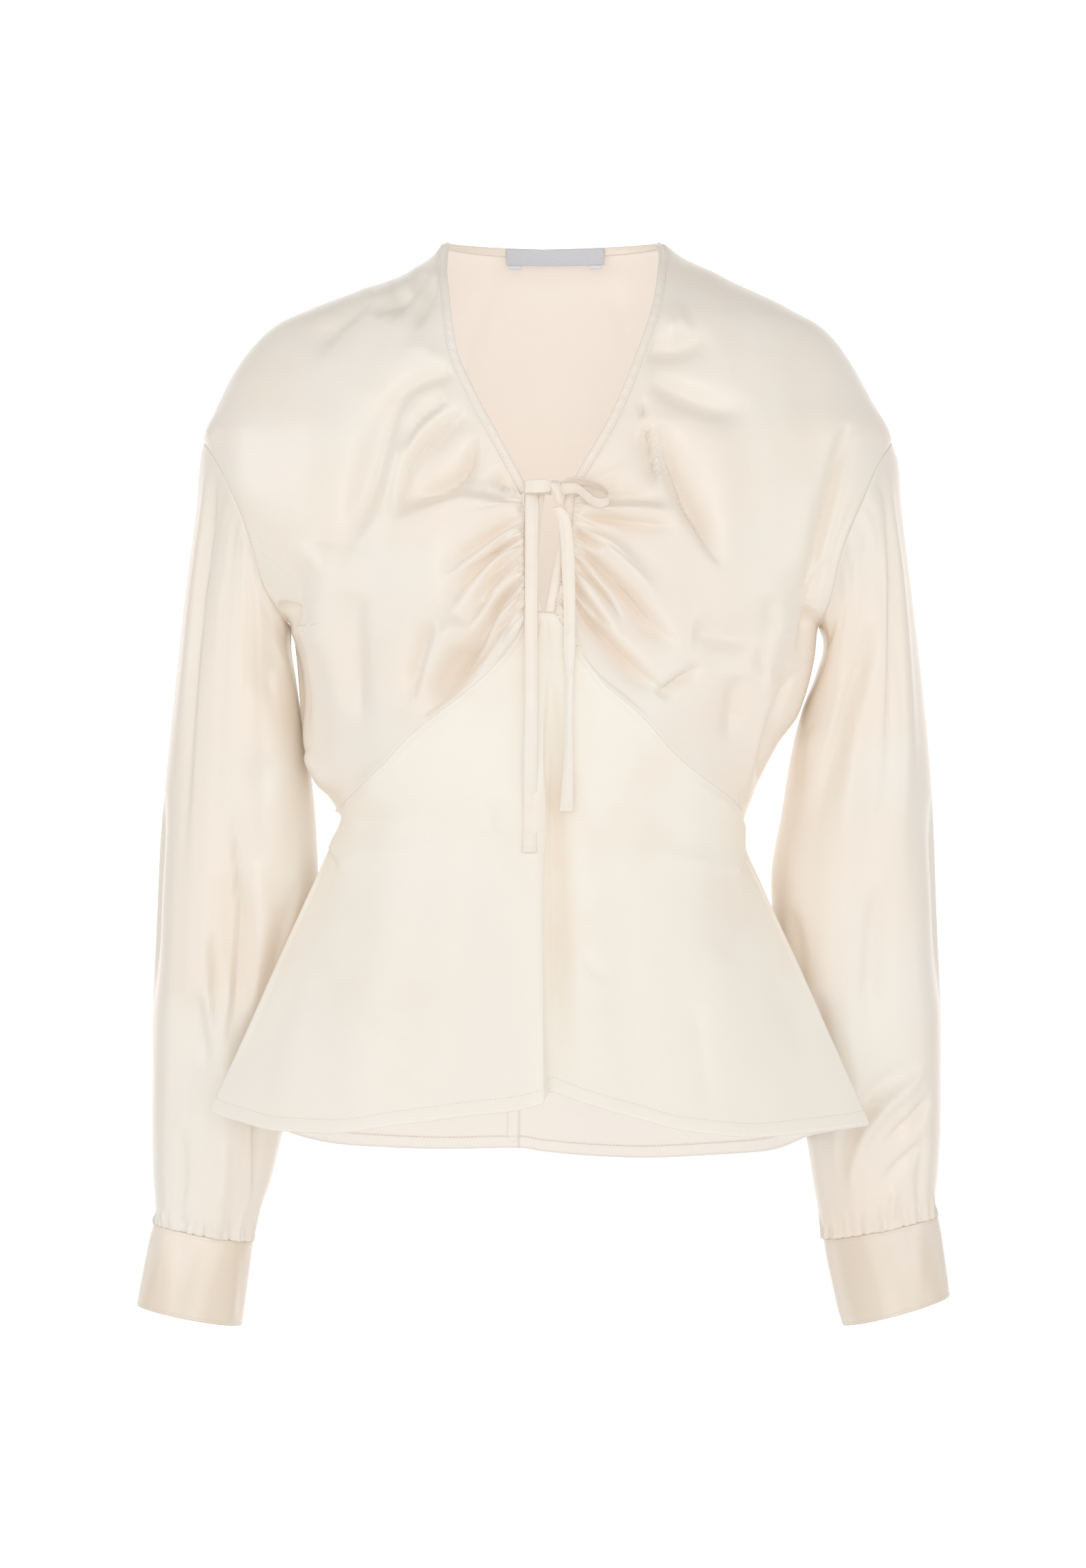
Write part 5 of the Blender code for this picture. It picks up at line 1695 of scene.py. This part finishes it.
class BLOUSE_OT_neck_band(bpy.types.Operator):
    """Make the narrow band round the neck and its stitching"""

    bl_idname = "blouse.neck_band"
    bl_label = "Neck band"

    def execute(self, context):
        seams, frees = [], []
        for side in SIDES:
            points = neck_line(side, np.linspace(0, 1, 150))
            ahead = unit(np.gradient(points, axis=0))
            inwards = np.column_stack([-ahead[:, 1], ahead[:, 0]]) * side * -1
            for line, shift in ((seams, 2 * SEAM), (frees, NECK_BAND_WIDTH)):
                edge = front_at(*(points + inwards * shift).T)
                line.append(edge[::-1] if side == RIGHT else edge)
        angles = np.linspace(-90, 90, 123)[1:-1]
        drop = SHOULDER_HEIGHTS[0] - HIGH_NECK_BACK
        behind = back(angles, HIGH_NECK_BACK + drop * np.abs(angles) / 90)
        lift = np.cos(np.radians(angles))[:, None]
        towards = unit(-behind * (1, 1, 0))
        back_seam = behind - (0, 0, 0.9) + towards * 1.1
        back_free = behind + towards * (4.6 - 3.6 * lift)
        back_free = back_free + np.array([0, 0, 1.0]) * (1.6 + 3.9 * lift)
        seam = np.concatenate([seams[0], back_seam, seams[1]])
        free = np.concatenate([frees[0], back_free, frees[1]])
        out = unit(np.cross(free - seam, np.gradient(seam, axis=0)))
        grid = tape_grid(seam, free, out, 0.55, 11).transpose(1, 0, 2)
        share = np.linspace(0, 1, 11)[:, None]
        pull = 0.16 * waves(edge_run(grid, "first") + 5 * share, 91, 9.0) * np.sin(np.pi * share)
        grid = pushed(grid, pull - 0.25 * hump(share, 0.22, 0.1), True)
        band = trim("neck_band_cloth", grid, BAND_WALL, True, body_satin(), node="neck_band")
        line = inset_line(grid, normals_of(grid, True), "top", 1.3)
        stitches("neck_band_stitches", [line])
        return {"FINISHED"}


class BLOUSE_OT_tie(bpy.types.Operator):
    """Make the keyhole strips and the tie: its tails, loops and knot"""

    bl_idname = "blouse.tie"
    bl_label = "Keyhole and tie"

    def execute(self, context):
        for side in SIDES:
            self.strip(side)
            self.tail(side)
            self.loop(side)
        self.knot()
        return {"FINISHED"}

    def strip(self, side):
        """The strip that finishes one edge of the keyhole."""
        rows, node = STRIP[side], f"keyhole_strip_{SIDE_WORDS[side]}"
        flip = side == RIGHT
        z = np.linspace(rows[0, 0] + 0.4, rows[-1, 0], 90)
        outer, inner = through(rows, z, 1) - side * SEAM, through(rows, z, 2)
        edges = [front_at(x, z, 0.2) for x in (outer, inner)]
        grid = tape_grid(*edges, FORWARD, 0.7, 13)
        relief = 0.12 * waves(edge_run(grid, "top") + grid[..., 0] * 0.6, 95 + side, 7.0)
        grid = pushed(grid, relief, flip)
        strip = trim(f"{node}_cloth", grid, BAND_WALL, flip, body_satin(), node=node)
        line = inset_line(grid, normals_of(grid, flip), "first", 1.4)
        row = stitches(f"keyhole_stitches_{SIDE_WORDS[side]}", [line])

    def tail(self, side):
        """A hanging end of the tie."""
        line = along(TIE[side], np.linspace(0, 1, 200))
        edges = [front_at(line[:, c], line[:, c + 1]) for c in (0, 2)]
        middle = front_at((line[:, 0] + line[:, 2]) / 2, (line[:, 1] + line[:, 3]) / 2)
        for edge in edges:
            edge[:, 1] = middle[:, 1] - line[:, 4] - 1.2
        grid = tape_grid(*edges, FORWARD, 0.45, 17)
        run = edge_run(grid, "top")
        share = np.linspace(0, 1, 17)
        sway = waves(run, 101 + side, 60.0, 0.5) * (share - 0.5)[None, :] * 1.6
        fine = 0.14 * waves(run + 8 * share[None, :], 103 + side, 13.0)
        turned = 0.35 * hump(share, 0.84 if side == RIGHT else 0.24, 0.05)
        grid[..., 1] -= sway * hold(grid, ("top",), 40.0) + fine - turned
        self.tape(f"tie_tail_{SIDE_WORDS[side]}", grid, True, end=3.4)

    def loop(self, side):
        """A loop of the bow."""
        line = along(LOOP[side], np.linspace(0, 1, 150))
        upper, lower = line[:, :3], line[:, 3:]
        out = unit(np.cross(lower - upper, np.gradient(upper, axis=0)))
        grid = tape_grid(upper, lower, out, 0.3, 11)
        fine = 0.12 * waves(edge_run(grid, "top") * 1.3, 107 + side, 9.0)
        self.tape(f"bow_loop_{SIDE_WORDS[side]}", grid + out[:, None] * fine[..., None], False)

    def tape(self, node, grid, flip, end=None):
        """One stretch of the folded tie, stitched along both edges and across its free end."""
        piece = trim(f"{node}_cloth", grid, TAPE_WALL, flip, body_satin(), node=node)
        normals = normals_of(grid, flip)
        lines = [inset_line(grid, normals, edge, TAPE_STITCHES) for edge in ("first", "last")]
        if end:
            lines.append(inset_line(grid, normals, "bottom", end))
        pitch = millimetres("stitch") * 0.8
        stitches(f"{node}_stitches", lines, pitch, 1.4, 0.3, 0.1)

    def knot(self):
        """The tie's turn round itself, creased where it is drawn tight."""
        turn = np.radians(np.arange(0, 360, 6.0))
        z = np.linspace(KNOT[0, 0], KNOT[-1, 0], 40)
        middle_x, middle_y, width, depth = (through(KNOT, z, c)[:, None] for c in (1, 2, 3, 4))
        down = np.linspace(0, 1, 40)[:, None]
        across = np.sign(np.cos(turn)) * np.abs(np.cos(turn)) ** 0.7
        pinch = 1 - 0.14 * np.cos(4 * turn + 5 * down) * np.sin(turn) ** 2
        ends = np.sqrt(np.clip(1 - (2 * down - 1) ** 6, 0, 1)) * 0.45 + 0.55
        x = middle_x - 0.8 + 2.4 * down + across * width * ends * (1.5 - 0.5 * down)
        y = middle_y + np.sin(turn) * depth * pinch * ends
        grid = np.stack([x, y, np.broadcast_to(z[:, None], x.shape)], axis=-1)
        piece = cloth("bow_knot_cloth", grid, 0, body_satin(), closed=True)
        select_only(piece)
        bpy.ops.object.mode_set(mode="EDIT")
        bpy.ops.mesh.select_all(action="SELECT")
        bpy.ops.mesh.fill_holes(sides=0)
        bpy.ops.mesh.normals_make_consistent(inside=False)
        bpy.ops.object.mode_set(mode="OBJECT")
        placed(piece, "bow_knot")


class BLOUSE_OT_neck_label(bpy.types.Operator):
    """Make the bare woven label inside the back neck"""

    bl_idname = "blouse.neck_label"
    bl_label = "Neck label"

    def execute(self, context):
        look = finish_named("label_weave", woven_tape, tint("label"))
        width, height = LABEL_SIZE
        middle_x, middle_z = LABEL_PLACE
        x = middle_x + np.linspace(-width / 2, width / 2, 90)
        z = middle_z + np.linspace(height / 2, -height / 2, 16)
        x, z = np.meshgrid(x, z)
        level = np.full_like(x, HIGH_NECK_BACK)
        around = through(BODY, level, 4) * np.sqrt(1 - (x / both_widths(level, x < 0)) ** 2)
        droop = 0.35 * np.sin(x / 9.0) * (middle_z + height / 2 - z) / height
        grid = np.stack([x, around - 1.6 - LABEL_GAP + droop, z], axis=-1)
        label = trim("neck_label_tape", grid, LABEL_WALL, True, look, "neck_label")
        normals = normals_of(grid, True)
        lines = [inset_line(grid, normals, edge, 1.1) for edge in ("first", "last")]
        row = stitches("label_stitches", lines, 1.6, 1.1)
        ends = finish_named("label_ends", woven_tape, shade(tint("label"), 1.25))
        for name, first in (("label_end_right", 2), ("label_end_left", 75)):
            end = grid[-3:, first:first + 13] + (0, 0.5, 0)
            end[..., 2] -= (end[:1, :, 2] - end[..., 2]) * 1.2 + 1.0
            trim(name, end, TURNING_WALL, True, ends)
        return {"FINISHED"}


class BLOUSE_OT_stage(bpy.types.Operator):
    """Make the white stage, its soft lights and the camera"""

    bl_idname = "blouse.stage"
    bl_label = "Stage and camera"

    def execute(self, context):
        stage = context.scene.blouse_stage
        board = finish_named("white_board", plain_wall, (0.92, 0.92, 0.92, 1), stage.glow)
        turn = np.radians(np.linspace(0, 360, 72, endpoint=False))
        radius = np.linspace(0.0001, stage.reach, 12)[:, None]
        level = np.full((12, 72), stage.floor)
        disc = np.stack([radius * np.cos(turn), radius * np.sin(turn), level], axis=-1) / MM
        cloth("floor", disc, 0, board, closed=True, flip=True)
        for (name, *facts), power in zip(LIGHTS, (stage.key, stage.side, stage.fill)):
            self.area(name, *facts, power)
        self.surround(context.scene, stage.world)
        context.scene.view_settings.view_transform = "Standard"
        data = bpy.data.cameras.new("camera")
        data.lens, data.sensor_width = stage.lens, 36.0
        camera = bpy.data.objects.new("camera", data)
        camera.location = CAMERA_PLACE
        camera.rotation_euler = (math.radians(90), 0, 0)
        context.scene.collection.objects.link(camera)
        context.scene.camera = camera
        return {"FINISHED"}

    def surround(self, scene, strength):
        """A pale room: white behind the blouse, brighter in front, dim overhead and underfoot."""
        world = bpy.data.worlds.new("surround")
        world.use_nodes = True
        nodes, links = world.node_tree.nodes, world.node_tree.links
        ways, axes = nodes.new("ShaderNodeTexCoord"), nodes.new("ShaderNodeSeparateXYZ")
        links.new(ways.outputs["Generated"], axes.inputs[0])
        ranges = (
            # axis, from, to, value at the start, value at the end
            ("Z", -0.95, -0.35, strength * 0.3, strength),
            ("Z", 0.5, 1.0, 0.0, strength * -0.25),
            ("Y", 0.6, 0.95, 0.0, 1.1),
            ("Y", -0.98, -0.3, strength * 0.95, 0.0),
        )
        total = None
        for axis, *values in ranges:
            fall = nodes.new("ShaderNodeMapRange")
            fall.interpolation_type = "SMOOTHSTEP"
            for key, value in zip(("From Min", "From Max", "To Min", "To Max"), values):
                fall.inputs[key].default_value = value
            links.new(axes.outputs[axis], fall.inputs["Value"])
            if total is None:
                total = fall.outputs[0]
                continue
            both = nodes.new("ShaderNodeMath")
            both.operation = "ADD"
            links.new(total, both.inputs[0])
            links.new(fall.outputs[0], both.inputs[1])
            total = both.outputs[0]
        background = nodes["Background"].inputs
        links.new(total, background["Strength"])
        background["Color"].default_value = (1, 0.99, 0.975, 1)
        scene.world = world

    def area(self, name, place, size, colour, power):
        """A square soft light at a place, facing the blouse."""
        data = bpy.data.lights.new(name, "AREA")
        data.size, data.energy, data.color = size, power, colour
        light = bpy.data.objects.new(name, data)
        ahead = np.array(LIGHT_TARGET) - np.array(place)
        light.location = place
        flat = math.hypot(ahead[0], ahead[1])
        light.rotation_euler = (math.atan2(flat, -ahead[2]), 0, math.atan2(-ahead[0], ahead[1]))
        bpy.context.scene.collection.objects.link(light)


class BLOUSE_PT_panel(bpy.types.Panel):
    """Lists the blouse's pieces and settings"""

    bl_label = "Satin blouse"
    bl_idname = "BLOUSE_PT_panel"
    bl_space_type = "VIEW_3D"
    bl_region_type = "UI"
    bl_category = "Blouse"

    def draw(self, context):
        for key in GROUPS:
            box, group = self.layout.box(), getattr(context.scene, key)
            for name in group.__annotations__:
                box.prop(group, name)
        for operator in OPERATORS:
            self.layout.operator(operator.bl_idname)


OPERATORS = (
    BLOUSE_OT_front_bodices,
    BLOUSE_OT_front_lower,
    BLOUSE_OT_back_panels,
    BLOUSE_OT_sleeves,
    BLOUSE_OT_cuffs,
    BLOUSE_OT_cuff_buttons,
    BLOUSE_OT_neck_band,
    BLOUSE_OT_tie,
    BLOUSE_OT_neck_label,
    BLOUSE_OT_stage,
)
GROUPS = {"blouse_cloth": BlouseCloth, "blouse_colours": BlouseColours, "blouse_stage": BlouseStage}


def register():
    for cls in (*GROUPS.values(), *OPERATORS, BLOUSE_PT_panel):
        bpy.utils.register_class(cls)
    for name, group in GROUPS.items():
        setattr(bpy.types.Scene, name, PointerProperty(type=group))


def unregister():
    for name in GROUPS:
        delattr(bpy.types.Scene, name)
    for cls in (BLOUSE_PT_panel, *OPERATORS[::-1], *list(GROUPS.values())[::-1]):
        bpy.utils.unregister_class(cls)


def main():
    register()
    for operator in OPERATORS:
        group, name = operator.bl_idname.split(".")
        getattr(getattr(bpy.ops, group), name)()


if __name__ == "__main__":
    main()
